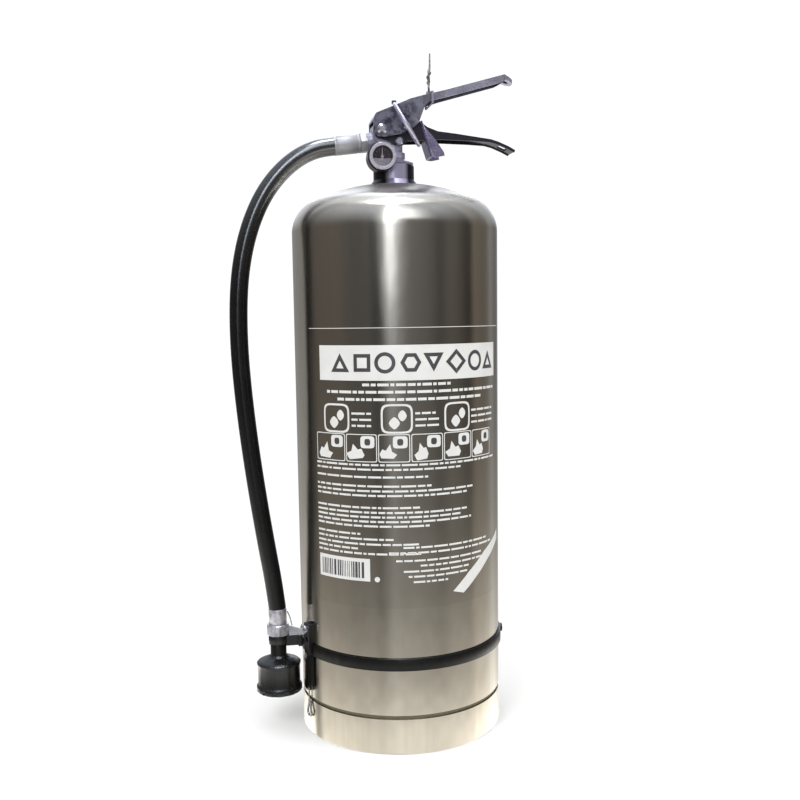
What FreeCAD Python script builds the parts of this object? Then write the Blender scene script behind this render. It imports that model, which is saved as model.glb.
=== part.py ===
import FreeCAD, Part
import math
import os

# A stored-pressure fire extinguisher. Millimetres, +Z up. The origin is on the cylinder's axis at the
# floor. The levers point along +X, the hose comes out along -X and the gauge and label face -Y.

V = FreeCAD.Vector
X_AXIS = V(1, 0, 0)
Y_AXIS = V(0, 1, 0)
Z_AXIS = V(0, 0, 1)

# ---- cylinder ----
body_r = 90.0
wall = 1.2
crown_r = 180.0
knuckle_r = 30.0
dome_top_z = 480.8
seam_z = 33.4            # lower edge of the shell
seam_gap = 3.0           # weld groove between shell and skirt
dish_wall = 1.5
dish_low_z = 10.0
dish_crown_r = 400.0
dish_knuckle_r = 10.0
dish_lap = 12.0          # how far the dish's flange reaches up inside the shell
foot_w = 3.5
foot_h = 3.0

# ---- neck ----
neck_r = 17.8
neck_top_z = 496.5
spigot_r = 15.5
thread_r = 12.5
thread_low_z = 478.0
oring_r = 14.6
oring_section_r = 1.25

# ---- label ----
label_t = 0.2
label_low_z = 126.0
label_top_z = 357.5
label_half_deg = 64.0

# ---- valve body ----
flange_r = 17.3
flange_t = 2.0
column_r = 10.2
column_top_z = 507.0
throat_r = 8.0
block_w = 17.0           # between the handle's two ears
block_rear_x = -19.0
block_front_x = 6.6
block_low_z = 514.0
block_top_z = 534.0
inlet_r = 7.0
seat_z = 506.0
seat_t = 3.0
seat_bore_r = 4.0
outlet_chamber_r = 5.5
chamber_top_z = 520.5
guide_r = 3.0
hose_tilt = 7.0          # degrees that the outlet points below level
hose_exit = V(-52.0, 0, 512.6)
outlet_r = 8.0
outlet_bore_r = 3.5
outlet_end_x = -23.5
nut_end_x = -29.4
nut_r = 9.0
ferrule_r = 8.1

# ---- stem and spring ----
stem_r = 2.95
stem_ball_z = 539.9
stem_low_z = 502.5
seal_r = 5.6
seal_t = 3.2
spring_low_z = 486.4
spring_top_z = 502.3
spring_r = 5.2
spring_wire_r = 0.6
spring_turns = 6
plug_flange_r = 9.0
plug_low_z = 466.0
plug_top_z = 486.0
plug_bore_r = 3.5

# ---- dip tube ----
dip_r = 6.0
dip_bore_r = 4.8
dip_top_z = 480.0
dip_low_z = 26.0
strainer_r = 8.0
strainer_low_z = 16.0
strainer_top_z = 40.0

# ---- levers ----
pivot = V(-12.0, 0, 525.4)
pivot_r = 3.0
handle_bolt = V(3.6, 0, 516.5)
handle_bolt_r = 2.5
handle_bolt_in_y = 6.2   # blind ends of the handle screws, clear of the valve's chamber
handle_bolt_head_t = 1.1
pin_hole = V(9.0, 0, 527.0)
pin_r = 1.6
pin_clear = 0.05
sheet = 1.7
ear_half = block_w / 2 + sheet
lever_gap = 2.2          # room for the handle screws' heads and the knuckle guard
lever_half = ear_half + lever_gap + sheet
lever_tip_half = 9.5
lever_skirt = 6.2        # height of the lever's side walls along the grip
lever_travel_deg = 20.0
slot_spare = 0.6
slot_extra_deg = 22.0
lever_hole_x = 100.2
lever_hole_r = 3.2

# ---- safety pin, pull ring and seal ----
ring_r = 19.3
ring_wire_r = 1.5
eye_r = 3.2
eye_y = -18.4
ring_slant = math.radians(58.5)

# ---- gauge ----
gauge = V(-14.4, 0, 500.2)
gauge_r = 10.2
gauge_skirt_r = 12.0     # the case's wider rear part, which hides the connector
gauge_skirt_y = -13.5
gauge_shoulder_y = -26.0
gauge_back_y = -19.0
gauge_front_y = -30.0
gauge_stem_r = 3.0
bezel_r = 11.3
bezel_t = 1.6
dial_y = -27.0

# ---- hose and nozzle ----
hose_r = 7.8
hose_bore_r = 5.0
nozzle_x = -111.8
hose_route = [
    hose_exit,
    V(-60.2, 0, 511.6),
    V(-69.3, 0, 509.3),
    V(-79.0, 0, 505.1),
    V(-88.3, 0, 499.1),
    V(-97.1, 0, 491.5),
    V(-105.3, 0, 482.5),
    V(-112.8, 0, 472.0),
    V(-119.6, 0, 459.5),
    V(-126.1, 0, 443.8),
    V(-131.9, 0, 424.0),
    V(-136.3, 0, 399.0),
    V(-138.4, 0, 366.0),
    V(-137.8, 0, 325.0),
    V(-133.4, 0, 270.0),
    V(-126.6, 0, 212.5),
    V(-119.2, 0, 161.0),
    V(-114.4, 0, 131.0),
    V(nozzle_x, 0, 107.0),
]
end_ferrule_low_z = 93.0
collar_low_z = 83.0
collar_r = 10.8
horn_neck_r = 7.2
horn_neck_low_z = 63.0
horn_low_z = 31.2
horn_r = 19.8
horn_wall = 2.2

# ---- strap and nozzle clip ----
strap_low_z = 73.0
strap_h = 10.4
strap_t = 2.0
clip_ring_low_z = 75.4
clip_mouth_w = 9.0
clip_bar_low_z = 87.6
buckle_deg = 200.0
buckle_w = 10.0
buckle_top_z = 101.0
buckle_screw_z = 96.0
tail_deg = 200.0
tail_low_z = 43.0
tail_step = 1.5          # one strand hangs this much lower, the other this much higher
stud_deg = -6.0


def save(name, shape):
    """Write one closed solid as a node."""
    shape = shape.removeSplitter()
    if len(shape.Solids) != 1 or not shape.isValid():
        print("WARNING", name, len(shape.Solids), "solids, valid:", shape.isValid())
    shape.exportStep(os.path.join("parts", name + ".step"))
    print("%-18s %10.1f mm3" % (name, shape.Volume))


def lathe(points, turn=360.0):
    """Revolve a closed (r, z) outline about the cylinder's axis."""
    corners = [V(r, 0, z) for r, z in points]
    face = Part.Face(Part.makePolygon(corners + corners[:1]))
    return face.revolve(V(0, 0, 0), Z_AXIS, turn)


def lathe_edges(edges):
    """Revolve a closed outline of lines and arcs about the cylinder's axis."""
    return Part.Face(Part.Wire(edges)).revolve(V(0, 0, 0), Z_AXIS, 360)


def line(a, b):
    return Part.LineSegment(a, b).toShape()


def arc(centre, radius, start_deg, end_deg):
    """An arc in the XZ plane, by its centre and the angles of its ends."""
    def at(deg):
        turn = math.radians(deg)
        return centre + V(math.cos(turn), 0, math.sin(turn)) * radius
    return Part.Arc(at(start_deg), at((start_deg + end_deg) / 2), at(end_deg)).toShape()


def plate(points, half):
    """Extrude a closed (x, z) outline symmetrically along Y."""
    corners = [V(x, -half, z) for x, z in points]
    face = Part.Face(Part.makePolygon(corners + corners[:1]))
    return face.extrude(V(0, 2 * half, 0))


def rod(start, end, radius):
    """A cylinder between two points."""
    run = end - start
    return Part.makeCylinder(radius, run.Length, start, run)


def pipe(start, end, radius, bore):
    return rod(start, end, radius).cut(rod(start, end, bore))


def cross_rod(centre, radius, y_start, y_end):
    """A cylinder along Y through a point of the XZ plane."""
    return rod(V(centre.x, y_start, centre.z), V(centre.x, y_end, centre.z), radius)


def hexagon(start, end, across_corners_r):
    """A hexagonal bar along an axis in the XZ plane, with two flats level."""
    run = (end - start).normalize()
    side = Y_AXIS
    up = side.cross(run)
    corners = []
    for k in range(6):
        turn = math.radians(60 * k)
        corners.append(start + (side * math.cos(turn) + up * math.sin(turn)) * across_corners_r)
    face = Part.Face(Part.makePolygon(corners + corners[:1]))
    return face.extrude(end - start)


def head_points(crown, knuckle, outer_r, top_z, inset):
    """Centres and joining angle of a head's crown and knuckle arcs, seen as an upward dome.

    The same centres serve the inner and outer faces, with radii smaller by inset.
    """
    knuckle_x = outer_r - knuckle
    drop = math.sqrt((crown - knuckle) ** 2 - knuckle_x ** 2)
    crown_centre = V(0, 0, top_z - crown)
    knuckle_centre = V(knuckle_x, 0, top_z - crown + drop)
    join_deg = math.degrees(math.atan2(drop, knuckle_x))
    return crown_centre, crown - inset, knuckle_centre, knuckle - inset, join_deg


def dome_edges(inset, hole_r):
    """The dome's outline from the rim to its centre hole, as arcs at a depth inside the outer face."""
    crown_c, crown, knuckle_c, knuckle, join = head_points(crown_r, knuckle_r, body_r, dome_top_z, inset)
    hole_deg = math.degrees(math.acos(hole_r / crown))
    return [arc(knuckle_c, knuckle, 0, join), arc(crown_c, crown, join, hole_deg)]


def cylinder_shell():
    outer = dome_edges(0, spigot_r)
    inner = dome_edges(wall, spigot_r)
    rim_out = outer[0].Vertexes[0].Point
    rim_in = inner[0].Vertexes[0].Point
    top_out = outer[1].Vertexes[-1].Point
    top_in = inner[1].Vertexes[-1].Point
    foot_out = V(body_r, 0, seam_z)
    foot_in = V(body_r - wall, 0, seam_z)
    edges = [line(foot_out, rim_out)] + outer + [line(top_out, top_in)]
    edges += inner[::-1] + [line(rim_in, foot_in), line(foot_in, foot_out)]
    return lathe_edges(Part.__sortEdges__(edges))


def bottom_dish():
    """The lower head: a shallow bowl with a straight flange, lapped inside the shell and the skirt."""
    outer_r = body_r - wall
    crown_c, crown, knuckle_c, knuckle, join = head_points(
        dish_crown_r, dish_knuckle_r, outer_r, -dish_low_z, 0)
    flange_top_z = seam_z + dish_lap

    def flip(p):
        return V(p.x, 0, -p.z)

    crown_c = flip(crown_c)
    knuckle_c = flip(knuckle_c)
    outline = []
    for inset in (0, dish_wall):
        rim = V(outer_r - inset, 0, flange_top_z)
        tangent = V(outer_r - inset, 0, knuckle_c.z)
        low = V(0, 0, crown_c.z - crown + inset)
        outline.append([
            line(rim, tangent),
            arc(knuckle_c, knuckle - inset, 0, -join),
            arc(crown_c, crown - inset, -join, -90),
        ])
        outline[-1].append((rim, low))
    rim_out, low_out = outline[0].pop()
    rim_in, low_in = outline[1].pop()
    edges = outline[0] + outline[1] + [line(low_out, low_in), line(rim_out, rim_in)]
    return lathe_edges(Part.__sortEdges__(edges))


def skirt_ring():
    """The foot ring, with a thicker rolled edge on the floor."""
    inner_r = body_r - wall
    top_z = seam_z - seam_gap
    foot_in = body_r - foot_w
    edge = 0.8
    return lathe([
        (body_r - edge, 0), (body_r, edge), (body_r, top_z), (inner_r, top_z), (inner_r, foot_h + edge),
        (inner_r - edge, foot_h), (foot_in + edge, foot_h), (foot_in, foot_h - edge), (foot_in, edge),
        (foot_in + edge, 0),
    ])


def neck_ring():
    """The threaded neck welded into the dome, with a seat for the seal ring on top."""
    weld_r = neck_r + 3.0
    groove_half = oring_section_r + 0.05
    groove_z = neck_top_z - 2 * oring_section_r
    collar = lathe([
        (thread_r, thread_low_z), (weld_r, thread_low_z), (weld_r, dome_top_z - 1.0), (neck_r, dome_top_z + 3.0),
        (neck_r, neck_top_z - 0.8), (neck_r - 0.8, neck_top_z), (oring_r + groove_half, neck_top_z),
        (oring_r + groove_half, groove_z), (oring_r - groove_half, groove_z),
        (oring_r - groove_half, neck_top_z), (thread_r, neck_top_z),
    ])
    collar = collar.cut(Part.makeSphere(crown_r, V(0, 0, dome_top_z - crown_r)))
    spigot = lathe([
        (thread_r, thread_low_z - 4), (spigot_r, thread_low_z - 4), (spigot_r, dome_top_z), (thread_r, dome_top_z),
    ])
    return collar.fuse(spigot)


def neck_oring():
    return Part.makeTorus(oring_r, oring_section_r, V(0, 0, neck_top_z - oring_section_r))


def label():
    band = lathe([
        (body_r, label_low_z), (body_r + label_t, label_low_z), (body_r + label_t, label_top_z),
        (body_r, label_top_z),
    ], 2 * label_half_deg)
    band.rotate(V(0, 0, 0), Z_AXIS, -90 - label_half_deg)
    return band


# ---- valve ----

def outlet_point(x):
    """The point of the tilted outlet axis at a given x."""
    return V(x, 0, hose_exit.z + (x - hose_exit.x) * math.tan(math.radians(hose_tilt)))


def valve_body():
    cone_top_z = neck_top_z + flange_t + 3.4
    trunk = lathe([
        (0, thread_low_z), (thread_r - 1, thread_low_z), (thread_r, thread_low_z + 1), (thread_r, neck_top_z),
        (flange_r - 0.6, neck_top_z), (flange_r, neck_top_z + 0.6), (flange_r, neck_top_z + flange_t),
        (column_r, cone_top_z), (column_r, column_top_z), (throat_r, column_top_z + 1.2),
        (throat_r, block_low_z + 2), (0, block_low_z + 2),
    ])
    block = plate([
        (block_rear_x, block_low_z + 4), (block_rear_x, block_top_z - 5), (block_rear_x + 5, block_top_z),
        (block_front_x - 3, block_top_z), (block_front_x, block_top_z - 3), (block_front_x, block_low_z + 3),
        (block_front_x - 3, block_low_z), (block_rear_x + 6, block_low_z),
    ], block_w / 2)
    outlet = rod(outlet_point(0), outlet_point(outlet_end_x), outlet_r)
    boss_r = 7.5
    boss = cross_rod(gauge, boss_r, 1.0, gauge_back_y + 3.5)
    below_flange = Part.makeCylinder(neck_r + 1, neck_top_z - thread_low_z, V(0, 0, thread_low_z))
    boss = boss.cut(below_flange)
    body = trunk.fuse([block, outlet, boss])
    axis_low = V(0, 0, thread_low_z - 1)
    body = body.cut(rod(axis_low, V(0, 0, seat_z), inlet_r))
    body = body.cut(rod(V(0, 0, seat_z - 1), V(0, 0, seat_z + seat_t + 1), seat_bore_r))
    body = body.cut(rod(V(0, 0, seat_z + seat_t), V(0, 0, chamber_top_z), outlet_chamber_r))
    body = body.cut(rod(V(0, 0, chamber_top_z - 1), V(0, 0, block_top_z + 1), guide_r))
    body = body.cut(rod(outlet_point(0), outlet_point(outlet_end_x - 1), outlet_bore_r))
    stem_end = V(gauge.x, gauge_back_y + 12, gauge.z)
    body = body.cut(cross_rod(gauge, gauge_stem_r, stem_end.y, gauge_back_y))
    body = body.cut(rod(stem_end + V(0, -1, 0), V(0, 0, gauge.z), 1.2))
    body = body.cut(cross_rod(pivot, pivot_r, -lever_half, lever_half))
    for side in (-1, 1):
        body = body.cut(cross_rod(handle_bolt, handle_bolt_r, side * handle_bolt_in_y, side * block_w))
    return body


def inlet_plug():
    """Screws into the valve's inlet, carries the spring and takes the dip tube."""
    return lathe([
        (dip_r, plug_low_z), (plug_flange_r, plug_low_z), (plug_flange_r, thread_low_z),
        (inlet_r, thread_low_z), (inlet_r, plug_top_z), (plug_bore_r, plug_top_z), (plug_bore_r, dip_top_z),
        (dip_r, dip_top_z),
    ])


def dip_tube():
    return pipe(V(0, 0, dip_low_z), V(0, 0, dip_top_z), dip_r, dip_bore_r)


def dip_strainer():
    """A slotted cap pushed over the dip tube's lower end."""
    cup = lathe([
        (0, strainer_low_z), (strainer_r, strainer_low_z), (strainer_r, strainer_top_z),
        (dip_r, strainer_top_z), (dip_r, strainer_low_z + 1.5), (0, strainer_low_z + 1.5),
    ])
    slot_w = 2.0
    slot_h = 5.0
    for k in range(6):
        slot = Part.makeBox(strainer_r, slot_w, slot_h, V(dip_r - 1, -slot_w / 2, strainer_low_z + 3))
        slot.rotate(V(0, 0, 0), Z_AXIS, 60 * k)
        cup = cup.cut(slot)
    return cup


def valve_stem():
    shaft = rod(V(0, 0, stem_low_z), V(0, 0, stem_ball_z), stem_r)
    tip = Part.makeSphere(stem_r, V(0, 0, stem_ball_z))
    seal_low_z = seat_z - 0.3 - seal_t
    carrier = rod(V(0, 0, stem_low_z), V(0, 0, seal_low_z + 0.4), seal_r - 0.8)
    return shaft.fuse([tip, carrier])


def stem_seal():
    """The rubber disc that closes the valve's seat from below."""
    top_z = seat_z - 0.3
    return pipe(V(0, 0, top_z - seal_t + 0.4), V(0, 0, top_z), seal_r, stem_r)


def valve_spring():
    """A compression spring with turns of round wire."""
    height = spring_top_z - spring_low_z - 2 * spring_wire_r
    pitch = height / spring_turns
    coil_r = spring_r - spring_wire_r
    helix = Part.makeHelix(pitch, height, coil_r)
    helix.translate(V(0, 0, spring_low_z + spring_wire_r))
    start = V(coil_r, 0, spring_low_z + spring_wire_r)
    section = Part.Wire(Part.makeCircle(spring_wire_r, start, Y_AXIS))
    return Part.Wire(helix.Edges).makePipeShell([section], True, True)


# ---- levers ----

def lever_top(x):
    """Height of the squeeze lever's upper face: a steep rear part and a shallower grip."""
    bend_x = 13.5
    bend_z = 551.5
    if x < bend_x:
        return bend_z + (x - bend_x) * math.tan(math.radians(22.6))
    return bend_z + (x - bend_x) * math.tan(math.radians(15.5))


def squeeze_lever():
    """The sprung upper lever: a channel with deep cheeks at the pivot and a rounded tip."""
    rear_x = -19.2
    bend_x = 13.5
    grip_end_x = 98.0
    tip = (107.0, 571.0)
    cheek_x = 30.0
    top = [
        (rear_x, 534.5), (rear_x + 2.2, lever_top(rear_x + 2.2)), (bend_x, lever_top(bend_x)),
        (grip_end_x, lever_top(grip_end_x)), tip,
    ]
    bottom = [
        (tip[0] - 0.3, tip[1] - 3.2), (grip_end_x + 1.4, lever_top(grip_end_x) - sheet - 2.6),
        (grip_end_x - 5, lever_top(grip_end_x - 5) - lever_skirt), (cheek_x, lever_top(cheek_x) - lever_skirt),
        (25.5, 545.0), (22.4, 537.0), (20.4, 531.6), (17.6, 529.0), (13.4, 525.6), (5.6, 521.8),
        (-9.4, 518.9), (-15.6, 519.4), (-17.8, 521.4), (rear_x, 524.5),
    ]
    web = sheet / math.cos(math.radians(22.6))
    under = [
        (rear_x - 5, 530.0), (rear_x + sheet, 533.5), (rear_x + sheet + 1.2, lever_top(rear_x + sheet + 1.2) - web),
        (bend_x, lever_top(bend_x) - web), (grip_end_x - 0.6, lever_top(grip_end_x - 0.6) - web),
        (grip_end_x - 0.6, 500.0), (rear_x - 5, 500.0),
    ]
    low = V(0, 0, 500)
    high = V(0, 0, 100)

    def plan(inset):
        """The lever from above: full width at the cheeks, narrower along the grip, rounded at the tip."""
        wide = lever_half - inset
        slim = lever_tip_half - inset
        outline = [(-40, wide), (24, wide), (44, slim + 0.7), (97, slim)]
        if not inset:
            outline += [(103, slim - 1.6), (106, slim - 4.4), (107.2, slim - 8)]
        corners = [V(x, y, low.z) for x, y in outline]
        corners += [V(x, -y, low.z) for x, y in outline[::-1]]
        return Part.Face(Part.makePolygon(corners + corners[:1])).extrude(high)

    outer = plate(top + bottom, lever_half).common(plan(0))
    inner = plate(under, lever_half).common(plan(sheet))
    channel = outer.cut(inner)
    channel = channel.cut(Part.makeCylinder(lever_hole_r, 100, V(lever_hole_x, 0, 500)))
    channel = channel.cut(cross_rod(pivot, pivot_r + pin_clear, -lever_half - 1, lever_half + 1))
    return channel.cut(pin_slot())


def pin_slot():
    """The arc-shaped gap that keeps the lever clear of the safety pin over its whole travel."""
    reach = pin_hole - pivot
    start_deg = math.degrees(math.atan2(reach.z, reach.x))
    half = pin_r + slot_spare
    width = 2 * lever_half + 2
    ends = []
    sweep_deg = lever_travel_deg + slot_extra_deg
    for deg in (start_deg, start_deg + sweep_deg):
        turn = math.radians(deg)
        centre = pivot + V(math.cos(turn), 0, math.sin(turn)) * reach.Length
        ends.append(cross_rod(centre, half, -width / 2, width / 2))
    face = Part.Face(Part.makePolygon([
        V(reach.Length - half, -width / 2, 0), V(reach.Length + half, -width / 2, 0),
        V(reach.Length + half, width / 2, 0), V(reach.Length - half, width / 2, 0),
        V(reach.Length - half, -width / 2, 0),
    ]))
    sweep = face.revolve(V(0, 0, 0), V(0, -1, 0), sweep_deg)
    sweep.rotate(V(0, 0, 0), V(0, -1, 0), start_deg)
    sweep.translate(pivot)
    return sweep.fuse(ends)


def carrying_handle():
    """The fixed lower handle: two ears round the valve block and a channel grip, in one stamping."""
    top = [
        (22.4, 533.0), (28.5, 528.6), (37.8, 525.2), (53.5, 523.5), (69.3, 521.4), (85.2, 519.3),
        (91.6, 517.5), (101.2, 513.6), (107.5, 510.2),
    ]
    low = [
        (106.5, 508.1), (100.2, 511.2), (91.0, 514.9), (84.0, 516.6), (69.0, 517.4), (52.0, 517.8),
        (40.0, 518.1), (32.0, 517.6), (24.0, 517.0),
    ]
    ears = [
        (10.5, 516.4), (6.9, 512.9), (0.0, 512.6), (-5.0, 516.0), (-16.5, 519.6), (-17.5, 522.0), (-17.5, 529.0),
        (-14.0, 532.6), (14.0, 533.6),
    ]
    body = plate(top + low + ears, ear_half)
    under = [(x, z - sheet - 0.1) for x, z in top]
    inside = [(-20.0, 545.0), (21.4, 545.0), (21.4, 531.6)] + under[1:] + [(109.0, 500.0), (-20.0, 500.0)]
    body = body.cut(plate(inside, block_w / 2))
    body = body.cut(cross_rod(pivot, pivot_r, -lever_half, lever_half))
    body = body.cut(cross_rod(handle_bolt, handle_bolt_r, -lever_half, lever_half))
    body = body.cut(cross_rod(pin_hole, pin_r + pin_clear, -lever_half, lever_half))
    slot = Part.makeBox(7.0, 9.0, 20.0, V(94.5, -4.5, 503.0))
    return body.cut(slot)


def knuckle_guard():
    """A bent channel round the grip's root that keeps the fingers off the valve."""
    depth = 12.2
    length = 34.0
    half = ear_half + sheet
    corner_r = 3.0
    along = V(10.6, 0, -32.7).normalize()
    start = V(21.4, 0, 533.0)

    def rounded_bar(inset):
        """A bar along Z from the origin, its two edges on the web side rounded."""
        bar = Part.makeBox(depth + 1, 2 * (half - inset), length + 2, V(inset, inset - half, -1))
        edges = []
        for edge in bar.Edges:
            middle = edge.CenterOfMass
            if abs(middle.x - inset) < 0.01 and abs(edge.Length - length - 2) < 0.01:
                edges.append(edge)
        return bar.makeFillet(corner_r - inset, edges)

    outline = plate([
        (0, 0), (0, 3.0 - length), (5.0, 0.8 - length), (depth - 0.2, -length), (depth, 3.0 - length),
        (9.5, -22.2), (7.6, -16.8), (5.5, -12.1), (2.6, -5.9), (2.2, 0),
    ], half)
    bar = rounded_bar(0).cut(rounded_bar(sheet))
    bar.rotate(V(0, 0, 0), X_AXIS, 180)
    guard = bar.common(outline)
    guard.rotate(V(0, 0, 0), Y_AXIS, -math.degrees(math.atan2(along.x, -along.z)))
    guard.translate(start)
    return guard.cut(carrying_handle())


def rivet(centre, radius, head_r, reach):
    """A cross rivet with a low domed head at each end."""
    shank = cross_rod(centre, radius, -reach, reach)
    heads = []
    for side in (-1, 1):
        base = V(centre.x, side * reach, centre.z)
        cap = Part.makeCone(head_r, head_r * 0.55, 1.6, base, V(0, side, 0))
        heads.append(cap)
    return shank.fuse(heads)


def handle_screw(side):
    """A short button-headed screw through one ear of the handle into the valve block."""
    shank = cross_rod(handle_bolt, handle_bolt_r, side * handle_bolt_in_y, side * ear_half)
    base = V(handle_bolt.x, side * ear_half, handle_bolt.z)
    head = Part.makeCone(3.6, 2.6, handle_bolt_head_t, base, V(0, side, 0))
    return shank.fuse(head)


# ---- safety pin, pull ring, seal ----

def ring_axes():
    """Directions of the eye's hole and of the ring's centre from the eye."""
    hole = V(math.cos(ring_slant), 0, -math.sin(ring_slant))
    out = V(-0.200, -0.972, -0.123)
    out = (out - hole * out.dot(hole)).normalize()
    return hole, out


def safety_pin():
    far_y = lever_half + 2.2
    shank = cross_rod(pin_hole, pin_r, eye_y, far_y)
    eye = Part.makeSphere(eye_r, V(pin_hole.x, eye_y, pin_hole.z))
    collar = cross_rod(pin_hole, 2.6, -lever_half - 2.0, -lever_half - 0.6)
    hole, out = ring_axes()
    eye_c = V(pin_hole.x, eye_y, pin_hole.z)
    bore = rod(eye_c - hole * 5, eye_c + hole * 5, ring_wire_r + 0.35)
    return shank.fuse([eye, collar]).cut(bore)


def pull_ring():
    hole, out = ring_axes()
    eye_c = V(pin_hole.x, eye_y, pin_hole.z)
    return Part.makeTorus(ring_r, ring_wire_r, eye_c + out * ring_r, hole.cross(out))


def seal_band():
    """The tamper seal's strip, closed round the squeeze lever, with its spare end standing up."""
    x_mid = 32.4
    half_w = 0.9
    t = 0.8
    top_z = lever_top(x_mid)
    side = lever_half
    low_z = top_z - lever_skirt - 1.9

    def ring(grow, over):
        return Part.makeBox(
            2 * half_w + 2 * over, 2 * (side + grow), top_z + grow + 0.6 - (low_z - grow),
            V(x_mid - half_w - over, -side - grow, low_z - grow))

    loop = ring(t, 0).cut(ring(0, 1))
    lock = Part.makeBox(4.4, 4.6, 2.6, V(x_mid - 2.2, -2.3, top_z + 0.6 + t - 0.3))
    foot_z = top_z + 0.6 + t
    tail = [(-0.9, 0), (-1.1, 8), (-2.3, 10), (-1.2, 12), (-2.5, 14.5), (-1.0, 17), (-1.3, 20), (0.0, 23),
            (0.4, 34.5), (1.3, 34.5), (1.5, 23), (1.2, 19.5), (2.1, 18), (0.6, 15.5), (1.0, 11), (0.5, 7), (0.9, 0)]
    strip = plate([(x_mid + dx, foot_z + dz) for dx, dz in tail], 0.8)
    return loop.fuse([lock, strip])


def seal_cord():
    """The seal's thin tie, lying on the near cheek of the lever above the pin."""
    y = -lever_half - 0.7
    r = 0.7
    start = V(-1.0, y, lever_top(-1.0) + 1.2)
    middle = V(4.4, y, 540.5)
    end = V(5.2, y, 537.5)
    head = Part.makeBox(3.6, 3.2, 2.8, V(-3.2, y - 0.9, lever_top(-1.4) + 0.9))
    return rod(start, middle, r).fuse([rod(middle, end, r), Part.makeSphere(r, middle), head])


# ---- gauge ----

def gauge_case():
    """A moulded cup with a skirt behind it round the connector, scooped to clear the neck."""
    skirt = cross_rod(gauge, gauge_skirt_r, gauge_skirt_y, gauge_shoulder_y)
    skirt = skirt.cut(cross_rod(gauge, gauge_skirt_r - 1.8, gauge_skirt_y + 1, gauge_back_y))
    skirt = skirt.cut(rod(V(0, 0, dip_top_z), V(0, 0, gauge.z + 3), neck_r + 0.8))
    outer = cross_rod(gauge, gauge_r, gauge_back_y, gauge_front_y).fuse(skirt)
    room = cross_rod(gauge, gauge_r - 0.9, gauge_back_y - 1.4, gauge_front_y - 1)
    stem = cross_rod(gauge, gauge_stem_r, gauge_back_y + 12, gauge_back_y)
    port = cross_rod(gauge, 0.9, gauge_back_y + 13, gauge_back_y - 2)
    flats = hexagon_y(gauge, 5.2, gauge_back_y + 3.5, gauge_back_y)
    return outer.cut(room).fuse([stem, flats]).cut(port)


def hexagon_y(centre, corner_r, y_start, y_end):
    """A hexagonal bar along Y."""
    corners = []
    for k in range(6):
        turn = math.radians(60 * k + 30)
        corners.append(V(centre.x + corner_r * math.cos(turn), y_start, centre.z + corner_r * math.sin(turn)))
    return Part.Face(Part.makePolygon(corners + corners[:1])).extrude(V(0, y_end - y_start, 0))


def gauge_bezel():
    ring = cross_rod(gauge, bezel_r, gauge_front_y + bezel_t, gauge_front_y - bezel_t)
    ring = ring.cut(cross_rod(gauge, gauge_r, gauge_front_y + bezel_t, gauge_front_y))
    return ring.cut(cross_rod(gauge, gauge_r - 1.6, gauge_front_y, gauge_front_y - bezel_t))


def gauge_dial():
    disc = cross_rod(gauge, gauge_r - 0.9, dial_y + 0.4, dial_y)
    return disc.cut(cross_rod(gauge, 0.8, dial_y + 1, dial_y - 1))


def gauge_needle():
    y = dial_y - 0.8
    pointer = plate([
        (gauge.x - 0.5, gauge.z), (gauge.x - 0.2, gauge.z + 7.4), (gauge.x + 0.2, gauge.z + 7.4),
        (gauge.x + 0.5, gauge.z), (gauge.x + 0.8, gauge.z - 3), (gauge.x - 0.8, gauge.z - 3),
    ], 0.2)
    pointer.translate(V(0, y, 0))
    hub = cross_rod(gauge, 1.2, y - 0.5, y + 0.4)
    shaft = cross_rod(gauge, 0.72, y, dial_y + 2.6)
    return pointer.fuse([hub, shaft])


def gauge_lens():
    return cross_rod(gauge, gauge_r - 0.9, gauge_front_y, gauge_front_y + 0.9)


def gauge_tube():
    """The coiled pressure tube behind the dial, standing on the port."""
    y = gauge_back_y - 4.0
    bend = Part.makeTorus(6.2, 1.1, V(gauge.x, y, gauge.z), Y_AXIS, -180, 180, 270)
    root = rod(V(gauge.x, gauge_back_y - 1.4, gauge.z), V(gauge.x, y, gauge.z), 1.6)
    arm = rod(V(gauge.x, y, gauge.z), bend.Edges[0].Vertexes[0].Point, 1.0)
    return bend.fuse([root, arm])


# ---- hose and nozzle ----

def hose_path():
    """Straight runs joined by arcs as large as the runs allow."""
    route = hose_route
    edges = []
    here = route[0]
    for before, corner, after in zip(route, route[1:], route[2:]):
        run_in = corner - before
        run_out = after - corner
        turn = run_in.getAngle(run_out)
        cut = 0.45 * min(run_in.Length, run_out.Length)
        radius = cut / math.tan(turn / 2)
        a = corner - V(run_in).normalize() * cut
        b = corner + V(run_out).normalize() * cut
        bisector = (V(run_out).normalize() - V(run_in).normalize()).normalize()
        middle = corner + bisector * (radius / math.cos(turn / 2) - radius)
        edges.append(line(here, a))
        edges.append(Part.Arc(a, middle, b).toShape())
        here = b
        print("hose bend radius %.0f mm, turn %.0f degrees" % (radius, math.degrees(turn)))
    edges.append(line(here, route[-1]))
    return Part.Wire(edges)


def hose():
    path = hose_path()
    start = (hose_route[1] - hose_route[0]).normalize()

    def sweep(radius):
        ring = Part.Wire(Part.makeCircle(radius, hose_route[0], start))
        return path.makePipeShell([ring], True, True)

    tube = sweep(hose_r).cut(sweep(hose_bore_r))
    section = math.pi * (hose_r ** 2 - hose_bore_r ** 2)
    print("hose length %.0f mm, volume ratio %.4f" % (path.Length, tube.Volume / (section * path.Length)))
    return tube


def hose_nut():
    start = outlet_point(outlet_end_x)
    end = outlet_point(nut_end_x)
    return hexagon(start, end, nut_r).cut(rod(start, end, hose_bore_r - 1))


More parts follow.
